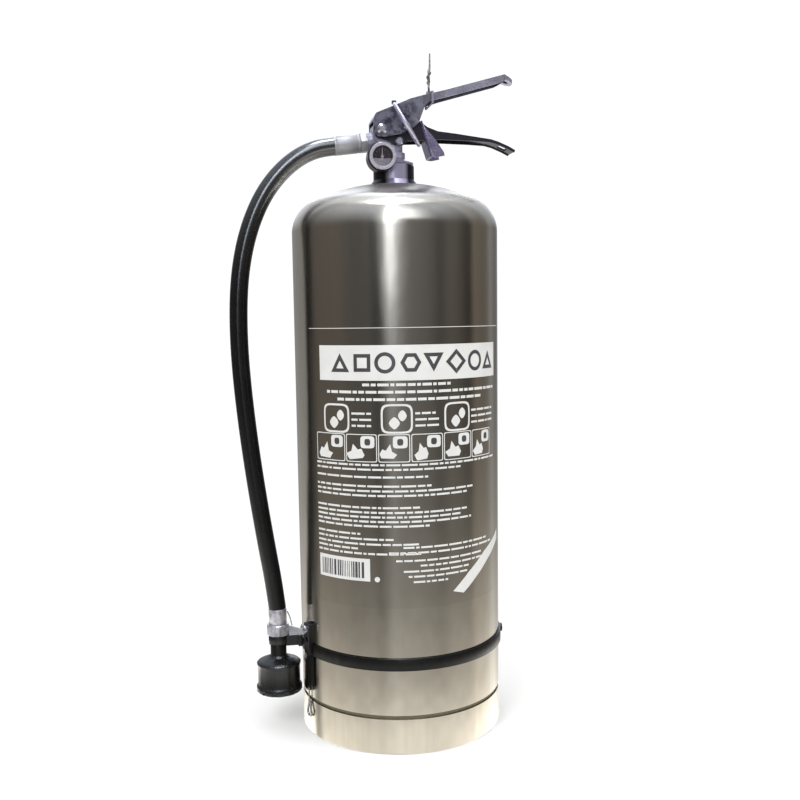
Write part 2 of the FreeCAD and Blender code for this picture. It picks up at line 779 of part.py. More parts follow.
def hose_ferrule():
    start = outlet_point(nut_end_x)
    body = pipe(start, hose_exit, ferrule_r, hose_bore_r - 1)
    step = (hose_exit - start).normalize()
    grooves = []
    for offset in (2.2, 20.0):
        a = start + step * offset
        grooves.append(pipe(a, a + step * 0.8, ferrule_r + 1, ferrule_r - 0.35))
    for groove in grooves:
        body = body.cut(groove)
    return body


def at_nozzle(points):
    """Revolve a closed (r, z) outline about the nozzle's own axis."""
    shape = lathe(points)
    shape.translate(V(nozzle_x, 0, 0))
    return shape


def nozzle_ferrule():
    top_z = hose_route[-1].z
    bore = hose_bore_r - 1
    return at_nozzle([
        (bore, end_ferrule_low_z), (ferrule_r, end_ferrule_low_z), (ferrule_r, top_z - 0.8),
        (ferrule_r - 0.6, top_z), (bore, top_z),
    ])


def nozzle_collar():
    bore = hose_bore_r - 1
    round_bar = at_nozzle([
        (bore, collar_low_z), (collar_r - 1.2, collar_low_z), (collar_r, collar_low_z + 1.2),
        (collar_r, end_ferrule_low_z - 1.2), (collar_r - 1.2, end_ferrule_low_z), (bore, end_ferrule_low_z),
    ])
    low = V(nozzle_x, 0, collar_low_z)
    corners = []
    for k in range(6):
        turn = math.radians(60 * k + 30)
        corners.append(low + V(math.cos(turn), math.sin(turn), 0) * (collar_r + 0.4))
    prism = Part.Face(Part.makePolygon(corners + corners[:1])).extrude(V(0, 0, end_ferrule_low_z - collar_low_z))
    return round_bar.common(prism)


def nozzle_horn():
    """The black discharge nozzle: a neck, a shoulder and an open bell with a beaded rim."""
    shoulder_z = horn_neck_low_z - 5.6
    side_r = horn_r - 0.9
    bead_r = horn_r + 0.6
    mouth_r = horn_r - horn_wall
    roof_z = shoulder_z - 5.0
    bell = at_nozzle([
        (4.0, collar_low_z), (horn_neck_r, collar_low_z),
        (horn_neck_r, horn_neck_low_z + 1.4), (horn_neck_r + 1.4, horn_neck_low_z),
        (horn_r - 1.2, shoulder_z + 1.2), (horn_r, shoulder_z), (side_r, shoulder_z - 4),
        (side_r, horn_low_z + 6.5), (bead_r, horn_low_z + 5), (bead_r, horn_low_z + 1.0),
        (horn_r - 0.2, horn_low_z), (mouth_r - 0.6, horn_low_z),
        (mouth_r - 1.4, horn_low_z + 8), (mouth_r - 2.4, roof_z), (4.0, roof_z + 4),
    ])
    for k in range(12):
        notch = Part.makeBox(4.0, 3.0, 3.0, V(mouth_r + 1.6, -1.5, horn_low_z - 0.4))
        notch.rotate(V(0, 0, 0), Z_AXIS, 30 * k + 15)
        notch.translate(V(nozzle_x, 0, 0))
        bell = bell.cut(notch)
    return bell


def spray_insert():
    """The jet plate pressed up into the bell, with its ring of holes."""
    top_z = collar_low_z - 8
    low_z = 51.0
    insert = at_nozzle([
        (0, low_z), (7.0, low_z), (7.0, low_z + 2.0), (4.0, low_z + 2.6), (4.0, top_z), (2.4, top_z),
        (2.4, low_z + 3.2), (0, low_z + 3.2),
    ])
    for k in range(6):
        turn = math.radians(60 * k)
        foot = V(nozzle_x + 1.5 * math.cos(turn), 1.5 * math.sin(turn), low_z - 1)
        insert = insert.cut(rod(foot, foot + V(0, 0, 6), 0.45))
    return insert


# ---- strap and clip ----

def polar(radius, deg, z):
    turn = math.radians(deg)
    return V(radius * math.cos(turn), radius * math.sin(turn), z)


def strap_band():
    return pipe(V(0, 0, strap_low_z), V(0, 0, strap_low_z + strap_h), body_r + strap_t, body_r)


def radial_box(radius, deg, z, depth, width, height):
    """A box standing on the cylinder, centred on an angle, its depth pointing outwards."""
    box = Part.makeBox(depth, width, height, V(radius, -width / 2, z))
    box.rotate(V(0, 0, 0), Z_AXIS, deg)
    return box


def nozzle_clip():
    """The moulded clip on the strap, with two arms snapped round the nozzle's neck."""
    on_strap = body_r + strap_t
    reach = -nozzle_x - horn_neck_r + 0.6
    block = Part.makeBox(reach - body_r, 13.0, strap_h - 1, V(-reach, -6.5, strap_low_z + 0.5))
    base = radial_box(on_strap - 2, 180, strap_low_z, 4.2, 18.0, strap_h)
    ring = rod(V(nozzle_x, 0, clip_ring_low_z), V(nozzle_x, 0, collar_low_z), horn_neck_r + 2.4)
    mouth = Part.makeBox(20, clip_mouth_w, 20, V(nozzle_x - 23, -clip_mouth_w / 2, clip_ring_low_z - 2))
    core = rod(V(nozzle_x, 0, clip_ring_low_z - 10), V(nozzle_x, 0, collar_low_z + 10), horn_neck_r)
    keep_out = Part.makeCylinder(on_strap, strap_h + 40, V(0, 0, strap_low_z - 10))
    under_collar = Part.makeCylinder(collar_r + 0.6, 20, V(nozzle_x, 0, collar_low_z))
    clip = block.fuse([ring, base]).cut(mouth).cut(core).cut(keep_out)
    return clip.cut(under_collar)


def clip_bar():
    """A steel arm from the nozzle's collar to the strap's buckle."""
    low_z = clip_bar_low_z
    height = 4.6
    thick = 1.8
    start = V(nozzle_x + collar_r - 2.2, -6.6, low_z)
    end = polar(body_r + 1.5, buckle_deg - 5, low_z)
    run = end - start
    bar = Part.makeBox(run.Length, thick, height)
    bar.rotate(V(0, 0, 0), Z_AXIS, math.degrees(math.atan2(run.y, run.x)))
    bar.translate(start)
    room = rod(V(nozzle_x, 0, low_z - 1), V(nozzle_x, 0, low_z + height + 1), collar_r + 0.4)
    bar = bar.cut(room).cut(Part.makeCylinder(body_r, 20, V(0, 0, low_z - 5)))
    return bar.cut(buckle_block())


def clip_wire():
    """The thin retaining wire from the hose's lower ferrule down to the steel arm."""
    top = V(nozzle_x + ferrule_r + 0.5, -1.5, 104.0)
    bend = V(nozzle_x + ferrule_r + 2.6, -3.0, 99.0)
    low = V(nozzle_x + collar_r + 1.4, -7.0, 92.4)
    radius = 0.6
    return rod(top, bend, radius).fuse([Part.makeSphere(radius, bend), rod(bend, low, radius)])


def buckle_block():
    low_z = strap_low_z + 0.6
    return radial_box(body_r - 1.0, buckle_deg, low_z, 5.6, buckle_w, buckle_top_z - low_z)


def strap_buckle():
    """The buckle that joins the strap's two ends, with its screw boss above the strap."""
    block = buckle_block().cut(Part.makeCylinder(body_r + strap_t, strap_h, V(0, 0, strap_low_z)))
    block = block.cut(Part.makeCylinder(body_r, 60, V(0, 0, strap_low_z - 20)))
    window = radial_box(body_r - 2, buckle_deg, strap_low_z + strap_h + 1.6, 10.0, 4.4, 4.0)
    return block.cut(window)


def buckle_screw():
    on_buckle = body_r + 4.6
    z = buckle_screw_z
    head = rod(polar(on_buckle, buckle_deg, z), polar(on_buckle + 2.2, buckle_deg, z), 3.6)
    slot = radial_box(on_buckle + 1.4, buckle_deg, z - 0.4, 2.0, 8.0, 0.8)
    return head.cut(slot)


def strap_tail(side):
    """One of the two strands of the strap's spare end, hanging below the strap."""
    low_z = tail_low_z + tail_step * side
    thick = 1.8
    width = 5.2
    strand_deg = tail_deg + side * 1.95
    return radial_box(body_r + 0.4, strand_deg, low_z, thick, width, strap_low_z - low_z)


def tail_loop():
    """The drop-shaped wire eye at the lower end of the spare strap."""
    radius = body_r + 1.4
    eye_z = 19.5
    eye_r = 4.0
    wire_r = 1.0
    tip_z = 31.0
    eye = Part.makeTorus(eye_r, wire_r, V(radius, 0, eye_z), X_AXIS)
    above = Part.makeBox(20, 20, 20, V(radius - 10, -10, eye_z + 1.6))
    eye = eye.cut(above)
    side_y = math.sqrt(eye_r ** 2 - 1.6 ** 2)
    tip = V(radius, 0, tip_z)
    pieces = [rod(V(radius, side * side_y, eye_z + 1.4), tip, wire_r * 0.9) for side in (-1, 1)]
    pieces += [Part.makeSphere(wire_r * 0.9, tip), rod(tip, V(radius, 0, tail_low_z - tail_step), 0.6)]
    loop = eye.fuse(pieces)
    loop.rotate(V(0, 0, 0), Z_AXIS, tail_deg - 2.6)
    return loop


def strap_stud():
    """The stud that fixes the strap to its keeper on the lever side."""
    z = strap_low_z + strap_h / 2
    on_strap = body_r + strap_t
    stud = rod(polar(on_strap - 1.5, stud_deg, z), polar(on_strap + 2.4, stud_deg, z), 3.8)
    return stud.cut(Part.makeCylinder(on_strap, 60, V(0, 0, strap_low_z - 10)))


def main():
    os.makedirs("parts", exist_ok=True)
    save("cylinder_shell", cylinder_shell())
    save("bottom_dish", bottom_dish())
    save("skirt_ring", skirt_ring())
    save("neck_ring", neck_ring())
    save("neck_oring", neck_oring())
    save("label", label())
    save("valve_body", valve_body())
    save("inlet_plug", inlet_plug())
    save("dip_tube", dip_tube())
    save("dip_strainer", dip_strainer())
    save("valve_stem", valve_stem())
    save("stem_seal", stem_seal())
    save("valve_spring", valve_spring())
    save("squeeze_lever", squeeze_lever())
    save("carrying_handle", carrying_handle())
    save("knuckle_guard", knuckle_guard())
    save("lever_pivot", rivet(pivot, pivot_r, 4.4, lever_half + 0.3))
    save("handle_screw_near", handle_screw(-1))
    save("handle_screw_far", handle_screw(1))
    save("safety_pin", safety_pin())
    save("pull_ring", pull_ring())
    save("seal_band", seal_band())
    save("seal_cord", seal_cord())
    save("gauge_case", gauge_case())
    save("gauge_bezel", gauge_bezel())
    save("gauge_dial", gauge_dial())
    save("gauge_needle", gauge_needle())
    save("gauge_lens", gauge_lens())
    save("gauge_tube", gauge_tube())
    save("hose", hose())
    save("hose_nut", hose_nut())
    save("hose_ferrule", hose_ferrule())
    save("nozzle_ferrule", nozzle_ferrule())
    save("nozzle_collar", nozzle_collar())
    save("nozzle_horn", nozzle_horn())
    save("spray_insert", spray_insert())
    save("strap_band", strap_band())
    save("nozzle_clip", nozzle_clip())
    save("clip_bar", clip_bar())
    save("clip_wire", clip_wire())
    save("strap_buckle", strap_buckle())
    save("buckle_screw", buckle_screw())
    save("strap_tail_a", strap_tail(-1))
    save("strap_tail_b", strap_tail(1))
    save("tail_loop", tail_loop())
    save("strap_stud", strap_stud())


main()
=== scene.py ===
"""A stainless fire extinguisher standing in a white studio.

Metres, +Z up, the origin at the foot ring's centre. The levers point along +X, the hose hangs at -X, and
the label and gauge face -Y. Outlines and prints are laid out in millimetres.
"""
import math
import random

import bmesh
import bpy
from mathutils import Matrix, Vector


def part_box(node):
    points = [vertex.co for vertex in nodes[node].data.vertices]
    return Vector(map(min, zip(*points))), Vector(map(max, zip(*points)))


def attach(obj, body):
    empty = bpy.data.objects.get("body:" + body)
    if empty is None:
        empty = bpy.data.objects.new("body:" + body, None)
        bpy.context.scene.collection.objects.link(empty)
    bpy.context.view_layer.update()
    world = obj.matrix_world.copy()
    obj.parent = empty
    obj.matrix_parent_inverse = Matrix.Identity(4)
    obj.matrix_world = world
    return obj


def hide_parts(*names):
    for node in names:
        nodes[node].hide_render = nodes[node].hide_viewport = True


MM = 0.001

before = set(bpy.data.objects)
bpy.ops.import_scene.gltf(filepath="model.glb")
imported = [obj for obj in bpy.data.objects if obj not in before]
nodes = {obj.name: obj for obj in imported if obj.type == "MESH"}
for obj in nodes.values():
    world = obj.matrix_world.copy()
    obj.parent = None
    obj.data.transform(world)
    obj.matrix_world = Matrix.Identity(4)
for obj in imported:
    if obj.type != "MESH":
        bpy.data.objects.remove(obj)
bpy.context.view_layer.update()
scene = bpy.context.scene
scene.view_settings.view_transform = "Standard"
random.seed(7)

# ---- camera ----

CAMERA_TURN = math.radians(-10.0)
CAMERA_DISTANCE = 0.872
CAMERA_HEIGHT = 0.364
CAMERA_PITCH = math.radians(6.34)
CAMERA_ROLL = math.radians(-0.82)
CAMERA_LENS = 43.83
CAMERA_SENSOR = 36.0
CAMERA_SHIFT = (0.0034, 0.0335)
CAMERA_NEAR = 0.01


def add_camera():
    data = bpy.data.cameras.new("camera")
    data.lens = CAMERA_LENS
    data.sensor_width = CAMERA_SENSOR
    data.shift_x, data.shift_y = CAMERA_SHIFT
    data.clip_start = CAMERA_NEAR
    camera = bpy.data.objects.new("camera", data)
    scene.collection.objects.link(camera)
    turn = Matrix.Rotation(CAMERA_TURN, 4, "Z")
    camera.matrix_world = (
        turn
        @ Matrix.Translation((0, -CAMERA_DISTANCE, CAMERA_HEIGHT))
        @ Matrix.Rotation(math.pi / 2 - CAMERA_PITCH, 4, "X")
        @ Matrix.Rotation(CAMERA_ROLL, 4, "Z")
    )
    scene.camera = camera


# ---- node trees ----

# The part of a noise texture's output that nearly all of its values fall in.
NOISE_LOW, NOISE_HIGH = 0.3, 0.7


def rgba(colour):
    if isinstance(colour, (int, float)):
        colour = (colour, colour, colour)
    return (*colour[:3], 1.0)


def times(colour, share):
    return tuple(c * share for c in colour)


class Tree:
    """Short names for the nodes that the materials and the studio are made of."""

    def __init__(self, owner):
        owner.use_nodes = True
        self.nt = owner.node_tree
        self.nt.nodes.clear()

    def add(self, kind, **values):
        node = self.nt.nodes.new(kind)
        for key, value in values.items():
            setattr(node, key, value)
        return node

    def link(self, a, b):
        self.nt.links.new(a, b)

    def put(self, socket, value):
        """Set a socket from a number, a colour or another node's output."""
        if hasattr(value, "is_output"):
            self.link(value, socket)
        else:
            socket.default_value = value

    def math(self, operation, a, b=0.0):
        node = self.add("ShaderNodeMath", operation=operation)
        self.put(node.inputs[0], a)
        self.put(node.inputs[1], b)
        return node.outputs[0]

    def coords(self, stretch=(1, 1, 1)):
        """Object coordinates in metres, stretched."""
        source = self.add("ShaderNodeTexCoord").outputs["Object"]
        node = self.add("ShaderNodeMapping")
        self.link(source, node.inputs["Vector"])
        node.inputs["Scale"].default_value = stretch
        return node.outputs["Vector"]

    def place(self):
        """Object coordinates along X, Y and Z, in metres."""
        node = self.add("ShaderNodeSeparateXYZ")
        self.link(self.coords(), node.inputs[0])
        return node.outputs

    def noise(self, scale, stretch=(1, 1, 1), detail=3.0, rough=0.5):
        node = self.add("ShaderNodeTexNoise")
        self.link(self.coords(stretch), node.inputs["Vector"])
        node.inputs["Scale"].default_value = scale
        node.inputs["Detail"].default_value = detail
        node.inputs["Roughness"].default_value = rough
        return node.outputs["Fac"]

    def span(self, value, low, high, from_low=NOISE_LOW, from_high=NOISE_HIGH):
        """The value's range from_low to from_high, carried over to low to high and held there."""
        node = self.add("ShaderNodeMapRange")
        self.put(node.inputs["Value"], value)
        node.inputs["From Min"].default_value = from_low
        node.inputs["From Max"].default_value = from_high
        node.inputs["To Min"].default_value = low
        node.inputs["To Max"].default_value = high
        return node.outputs["Result"]

    def mix(self, factor, a, b):
        node = self.add("ShaderNodeMix", data_type="RGBA")
        self.put(node.inputs["Factor"], factor)
        self.put(node.inputs["A"], a if hasattr(a, "is_output") else rgba(a))
        self.put(node.inputs["B"], b if hasattr(b, "is_output") else rgba(b))
        return node.outputs["Result"]

    def ramp(self, value, stops):
        node = self.add("ShaderNodeValToRGB")
        self.put(node.inputs["Fac"], value)
        points = node.color_ramp.elements
        while len(points) > 1:
            points.remove(points[-1])
        points[0].position, points[0].color = stops[0][0], rgba(stops[0][1])
        for position, colour in stops[1:]:
            points.new(position).color = rgba(colour)
        return node.outputs["Color"]

    def bump(self, height, depth, normal=None):
        node = self.add("ShaderNodeBump")
        self.put(node.inputs["Height"], height)
        node.inputs["Distance"].default_value = depth
        node.inputs["Strength"].default_value = 1.0
        if normal is not None:
            self.link(normal, node.inputs["Normal"])
        return node.outputs["Normal"]


def principled(name):
    mat = bpy.data.materials.new(name)
    tree = Tree(mat)
    shader = tree.add("ShaderNodeBsdfPrincipled")
    out = tree.add("ShaderNodeOutputMaterial")
    tree.link(shader.outputs["BSDF"], out.inputs["Surface"])
    return mat, tree, shader


# ---- plain finishes ----

# Painted shade in recesses: how dark the darkest recess is painted, as a share of the colour.
RECESS_SHADE_TONE = 0.04
# The share of open surroundings at which a recess's painted shade is darkest, and at which it is gone.
RECESS_SHADE_OPENNESS = (0.45, 0.85)
# A lever root's darker spots: their colour, the scale of their noise, and the part of it they span.
ROOT_DARK = (0.015, 0.015, 0.03)
ROOT_DARK_PATCH = 190
ROOT_DARK_NOISE = (0.42, 0.62)
# A lever's root, along X: darkened in spots up to the first place and untouched from the second.
ROOT_X = (12 * MM, 36 * MM)
# How much more of its tone than the average the least darkened root spots keep, and how much less the others.
MOST_KEPT, LEAST_KEPT = 1.4, 0.35
# The heights between which a hose's upper bend grows shinier, a painted sheen, and its refraction at either
# end.
SHEEN_Z = (0.38, 0.49)
SHEEN_IOR = (1.5, 2.25)


def painted_recess_shade(tree, tone, colour, reach):
    """Paint shade into the recesses whose walls are within reach of each other."""
    open_sky = tree.add("ShaderNodeAmbientOcclusion", only_local=True)
    open_sky.inputs["Distance"].default_value = reach
    undarkened = tree.span(open_sky.outputs["AO"], 0, 1, *RECESS_SHADE_OPENNESS)
    return tree.mix(undarkened, times(colour, RECESS_SHADE_TONE), tone)


def darkened_root(tree, tone, kept_share):
    """Darken in spots the part of a lever nearest its pivot."""
    root = tree.span(tree.place()[0], 1, 0, *ROOT_X)
    noise = tree.noise(ROOT_DARK_PATCH, detail=4.0)
    undarkened = tree.span(noise, kept_share * MOST_KEPT, kept_share * LEAST_KEPT, *ROOT_DARK_NOISE)
    darkening = tree.math("MULTIPLY", root, tree.math("SUBTRACT", 1.0, undarkened))
    return tree.mix(darkening, tone, ROOT_DARK)


def surface(name, colour, rough, metal=0.0, shade=0.8, patch=60.0, grain=1500.0, depth=0.02 * MM,
            spread=0.06, coat=0.0, specular=0.5, recess_shade=0.0, root_kept_share=1.0, painted_sheen_top=False):
    """A finish with patchy colour, uneven gloss and a fine grain.

    Painted shade darkens the recesses within the given distance. Below 1, the root setting is how much of its
    tone a lever's root keeps; the rest of the root is darkened in spots. A hose's shinier upper bend is a
    painted sheen: its reflectance rises towards the top.
    """
    mat, tree, shader = principled(name)
    tone = tree.mix(tree.span(tree.noise(patch), 0, 1), colour, times(colour, shade))
    if recess_shade:
        tone = painted_recess_shade(tree, tone, colour, recess_shade)
    if root_kept_share < 1.0:
        tone = darkened_root(tree, tone, root_kept_share)
    tree.put(shader.inputs["Base Color"], tone)
    fine = tree.noise(grain, detail=4.0, rough=0.6)
    tree.put(shader.inputs["Roughness"], tree.span(fine, rough - spread, rough + spread))
    tree.put(shader.inputs["Normal"], tree.bump(fine, depth))
    shader.inputs["Metallic"].default_value = metal
    shader.inputs["Coat Weight"].default_value = coat
    shader.inputs["Specular IOR Level"].default_value = specular
    # A painted sheen: the reflectance rises towards the top.
    if painted_sheen_top:
        tree.put(shader.inputs["IOR"], tree.span(tree.place()[2], *SHEEN_IOR, *SHEEN_Z))
    return mat


# ---- polished steel ----

STEEL = (0.60, 0.555, 0.475)
# Patterns in the steel, as repeats per metre along X, Y and Z.
STREAKS = (140, 140, 5)
BLOTCHES = (30, 30, 12)
WAVES = (34, 34, 14)
FINE_BRUSHING = (900, 900, 60)
WAVE_DEPTH = 0.4 * MM
BRUSHING_DEPTH = 0.004 * MM
# How dark the steel's patches are, and how dark its flanks are painted as a dark reflection, as a share of
# its tint.
STREAK_SHADE, BLOTCH_SHADE, DARK_REFLECTION_TONE = 0.94, 0.93, 0.02
DARK_REFLECTION_FADE = 4 * MM
# Heights over which the head grows duller: the knuckle first, then the crown.
DULL_KNUCKLE = (0.452, 0.474)
DULL_CROWN = (0.468, 0.478)


def steel(name, tint=STEEL, rough=0.14, streak=0.02, anisotropy=0.87, coat=0.0, dull_top=0.0, painted_dark_flanks=0.0,
          metal=1.0):
    """Polished sheet steel: upright streaks in its gloss and colour, slow waves, and a duller brushed top.

    Beyond a given flank distance to either side of the axis, the metal is painted nearly black: a painted
    reflection.
    """
    mat, tree, shader = principled(name)
    streaks = tree.noise(1.0, STREAKS, detail=4.0, rough=0.55)
    blotch = tree.noise(1.0, BLOTCHES, detail=2.0)
    tone = tree.mix(tree.span(streaks, 0, 1), tint, times(tint, STREAK_SHADE))
    tone = tree.mix(tree.span(blotch, 0, 0.5), tone, times(tint, BLOTCH_SHADE))
    x, _, z = tree.place()
    if painted_dark_flanks:
        beyond = tree.span(tree.math("ABSOLUTE", x), 0, 1, painted_dark_flanks, painted_dark_flanks + DARK_REFLECTION_FADE)
        tone = tree.mix(beyond, tone, times(tint, DARK_REFLECTION_TONE))
    tree.put(shader.inputs["Base Color"], tone)
    knuckle = tree.span(z, 0.0, dull_top, *DULL_KNUCKLE)
    crown = tree.span(z, 0.0, dull_top, *DULL_CROWN)
    gloss = tree.span(streaks, rough - streak, rough + streak)
    tree.put(shader.inputs["Roughness"], tree.math("ADD", gloss, tree.math("ADD", knuckle, crown)))
    waves = tree.bump(tree.noise(1.0, WAVES, detail=2.0), WAVE_DEPTH)
    brushing = tree.noise(1.0, FINE_BRUSHING, detail=3.0)
    tree.put(shader.inputs["Normal"], tree.bump(brushing, BRUSHING_DEPTH, normal=waves))
    shader.inputs["Metallic"].default_value = metal
    shader.inputs["Anisotropic"].default_value = anisotropy
    shader.inputs["Coat Weight"].default_value = coat
    around = tree.add("ShaderNodeTangent", direction_type="RADIAL", axis="Z")
    tree.link(around.outputs[0], shader.inputs["Tangent"])
    return mat


# ---- studio ----

# Brightness by azimuth or by height, seen from the object. Azimuths are in degrees from the camera's side
# towards the view's right, so the far side is at 180, and heights are in degrees above level.
WALL_STOPS = [
    (-180, 0.34), (-150, 0.30), (-121, 0.30), (-119, 0.0), (-106, 0.0), (-103, 0.115), (-62, 0.12),
    (-50, 0.09), (-33, 0.09), (-28, 0.11), (-24, 0.02), (-17, 0.02), (-12, 0.10), (5, 0.17), (12, 0.17),
    (28, 0.15), (42, 0.11), (46, 0.06), (52, 0.07), (64, 0.13), (70, 0.10), (80, 0.065), (85, 0.02),
    (92, 0.02), (95, 0.19), (113, 0.13), (122, 0.14), (131, 0.32), (140, 0.20), (152, 0.12), (170, 0.6),
    (180, 0.6),
]
# An upright light strip, brighter above level.
STRIP_STOPS = [(-14, 0.0), (-11, 0.35), (-8, 1.2), (-3, 1.2), (0, 0.5), (3, 0.2), (8, 0.04), (11, 0.0)]
STRIP_LIFT = [
    (-90, 0.1), (-24, 0.1), (-17, 0.10), (-10, 0.15), (-3, 0.35), (0, 0.55), (4, 2.0), (12, 4.0), (25, 5.0),
    (90, 5.0),
]
# The lit floor, by height below level, and how it differs round the room.
LOW_STOPS = [
    (-90, 0.4), (-55, 0.6), (-40, 1.25), (-30, 1.35), (-24, 1.12), (-22, 0.62), (-20.5, 0.41), (-17, 0.20),
    (-14, 0.12), (-11, 0.06), (-6, 0.02), (0, 0.0),
]
LOW_SIDES = [
    (-180, 0.9), (-162, 1.2), (-142, 2.4), (-122, 2.4), (-117, 0.45), (-108, 0.45), (-104, 1.5), (-90, 1.25),
    (-50, 1.0), (40, 1.0), (70, 1.25), (95, 1.65), (115, 2.1), (142, 2.8), (162, 1.3), (180, 0.9),
]
# The ceiling.
HIGH_STOPS = [
    (0, 0.0), (8, 0.02), (16, 0.06), (30, 0.24), (55, 0.6), (66, 0.62), (76, 0.8), (80, 2.0), (90, 3.2),
]
# A broad light behind the object.
BACK_STOPS = [
    (-180, 1.6), (-172, 1.0), (-160, 0.3), (-140, 0.1), (-120, 0.0), (120, 0.0), (140, 0.1), (160, 0.3),
    (172, 1.0), (180, 1.6),
]
BACK_LIFT = [(-90, 0.0), (6, 0.0), (14, 1.9), (60, 1.9), (85, 0.4)]
# Where the walls are warmer.
WARM_STOPS = [
    (-105, 0.0), (-100, 1.0), (-70, 0.9), (-35, 0.1), (40, 0.0), (75, 0.6), (95, 1.3), (115, 1.0), (125, 0.0),
]
# A panel high to the right of the camera, seen in the shoulder of the dome.
PANEL_STOPS = [(0, 0.0), (4, 1.0), (20, 1.0), (34, 0.25), (50, 0.0)]
PANEL_LIFT = [(18, 0.0), (28, 1.6), (45, 1.6), (60, 0.5), (75, 0.0)]
# A small lamp overhead, full out to one angle from its centre and gone by the other.
LAMP_AZIMUTH = math.radians(-10.0)
LAMP_HEIGHT = math.radians(80.0)
LAMP_LEVEL = 26.0
LAMP_FULL, LAMP_GONE = math.radians(4.0), math.radians(9.0)

# No stop is brighter than this.
TOP_LEVEL = 8.0
HALF_TURN, QUARTER_TURN = 180.0, 90.0

NEUTRAL = (1.0, 1.0, 1.02)
COOL = (0.88, 0.98, 1.16)
STRIP_TINT = (0.96, 1.03, 1.14)
PANEL_TINT = (0.92, 1.0, 1.1)
FLOOR_TINT = (1.0, 0.98, 0.92)
WARMTH = (0.10, -0.01, -0.12)
ROOM_STRENGTH = 1.05


def by_angle(tree, angle, stops, span):
    """A brightness that depends on an angle in degrees, from -span to span."""
    place = tree.math("ADD", tree.math("DIVIDE", angle, 2.0 * span), 0.5)
    colour = tree.ramp(place, [((a + span) / (2.0 * span), level / TOP_LEVEL) for a, level in stops])
    return tree.math("MULTIPLY", colour, TOP_LEVEL)


def glow(tree, level, colour):
    node = tree.add("ShaderNodeVectorMath", operation="SCALE")
    node.inputs[0].default_value = colour
    tree.link(level, node.inputs["Scale"])
    return node.outputs[0]


def lamp_glow(tree, direction):
    """The brightness of the small lamp overhead, seen in a direction."""
    towards = tree.add("ShaderNodeVectorMath", operation="DOT_PRODUCT")
    tree.link(direction, towards.inputs[0])
    flat = math.cos(LAMP_HEIGHT)
    towards.inputs[1].default_value = (
        math.sin(LAMP_AZIMUTH) * flat, -math.cos(LAMP_AZIMUTH) * flat, math.sin(LAMP_HEIGHT))
    return tree.span(towards.outputs["Value"], 0.0, LAMP_LEVEL, math.cos(LAMP_GONE), math.cos(LAMP_FULL))


def mirrored_studio(tree):
    """The colour that polished surfaces mirror: dark walls, light strips, a lit floor and a ceiling."""
    turn = tree.add("ShaderNodeMapping")
    tree.link(tree.add("ShaderNodeTexCoord").outputs["Generated"], turn.inputs["Vector"])
    turn.inputs["Rotation"].default_value = (0, 0, -CAMERA_TURN)
    direction = turn.outputs["Vector"]
    parts = tree.add("ShaderNodeSeparateXYZ")
    tree.link(direction, parts.inputs[0])
    x, y, z = parts.outputs
    degrees = math.degrees(1.0)
    azimuth = tree.math("MULTIPLY", tree.math("ARCTAN2", x, tree.math("MULTIPLY", y, -1.0)), degrees)
    height = tree.math("MULTIPLY", tree.math("ARCSINE", z), degrees)

    def around(stops):
        return by_angle(tree, azimuth, stops, HALF_TURN)

    def upward(stops):
        return by_angle(tree, height, stops, QUARTER_TURN)

    def product(a, b):
        return tree.math("MULTIPLY", a, b)

    walls = around(WALL_STOPS)
    total = glow(tree, walls, NEUTRAL)
    for level, colour in (
            (product(around(STRIP_STOPS), upward(STRIP_LIFT)), STRIP_TINT),
            (upward(HIGH_STOPS), COOL),
            (product(around(BACK_STOPS), upward(BACK_LIFT)), COOL),
            (product(walls, around(WARM_STOPS)), WARMTH),
            (product(around(PANEL_STOPS), upward(PANEL_LIFT)), PANEL_TINT),
            (lamp_glow(tree, direction), NEUTRAL),
            (product(upward(LOW_STOPS), around(LOW_SIDES)), FLOOR_TINT)):
        add = tree.add("ShaderNodeVectorMath", operation="ADD")
        tree.link(total, add.inputs[0])
        tree.link(glow(tree, level, colour), add.inputs[1])
        total = add.outputs[0]
    return total


def add_world():
    """A white room for the camera and for matt surfaces; polished ones mirror a darker studio."""
    world = bpy.data.worlds.new("studio")
    scene.world = world
    tree = Tree(world)
    mirrored = tree.add("ShaderNodeBackground")
    tree.link(mirrored_studio(tree), mirrored.inputs["Color"])
    white = tree.add("ShaderNodeBackground")
    white.inputs["Color"].default_value = rgba(1.0)
    white.inputs["Strength"].default_value = ROOM_STRENGTH
    rays = tree.add("ShaderNodeLightPath")
    choose = tree.add("ShaderNodeMixShader")
    tree.link(rays.outputs["Is Glossy Ray"], choose.inputs["Fac"])
    tree.link(white.outputs[0], choose.inputs[1])
    tree.link(mirrored.outputs[0], choose.inputs[2])
    out = tree.add("ShaderNodeOutputWorld")
    tree.link(choose.outputs[0], out.inputs["Surface"])


LAMP_SIZE = 0.8
LAMP_TARGET = (0, 0, 0.3)
# Soft lamps: where each stands and its power in watts.
LAMPS = {"key": ((-0.9, -1.1, 1.3), 14.0), "fill": ((1.1, -0.7, 0.9), 7.0)}


def add_lamp(name, place, power):
    """A square soft lamp that lights the matt surfaces and isn't mirrored."""
    data = bpy.data.lights.new(name, "AREA")
    data.shape = "RECTANGLE"
    data.size = data.size_y = LAMP_SIZE
    data.energy = power
    lamp = bpy.data.objects.new(name, data)
    scene.collection.objects.link(lamp)
    lamp.location = place
    lamp.rotation_euler = (Vector(LAMP_TARGET) - Vector(place)).to_track_quat("-Z", "Y").to_euler()
    lamp.visible_glossy = False


FLOOR_RADIUS = 0.62
FLOOR_DROP = 0.2 * MM
FLOOR_WHITE = 0.92


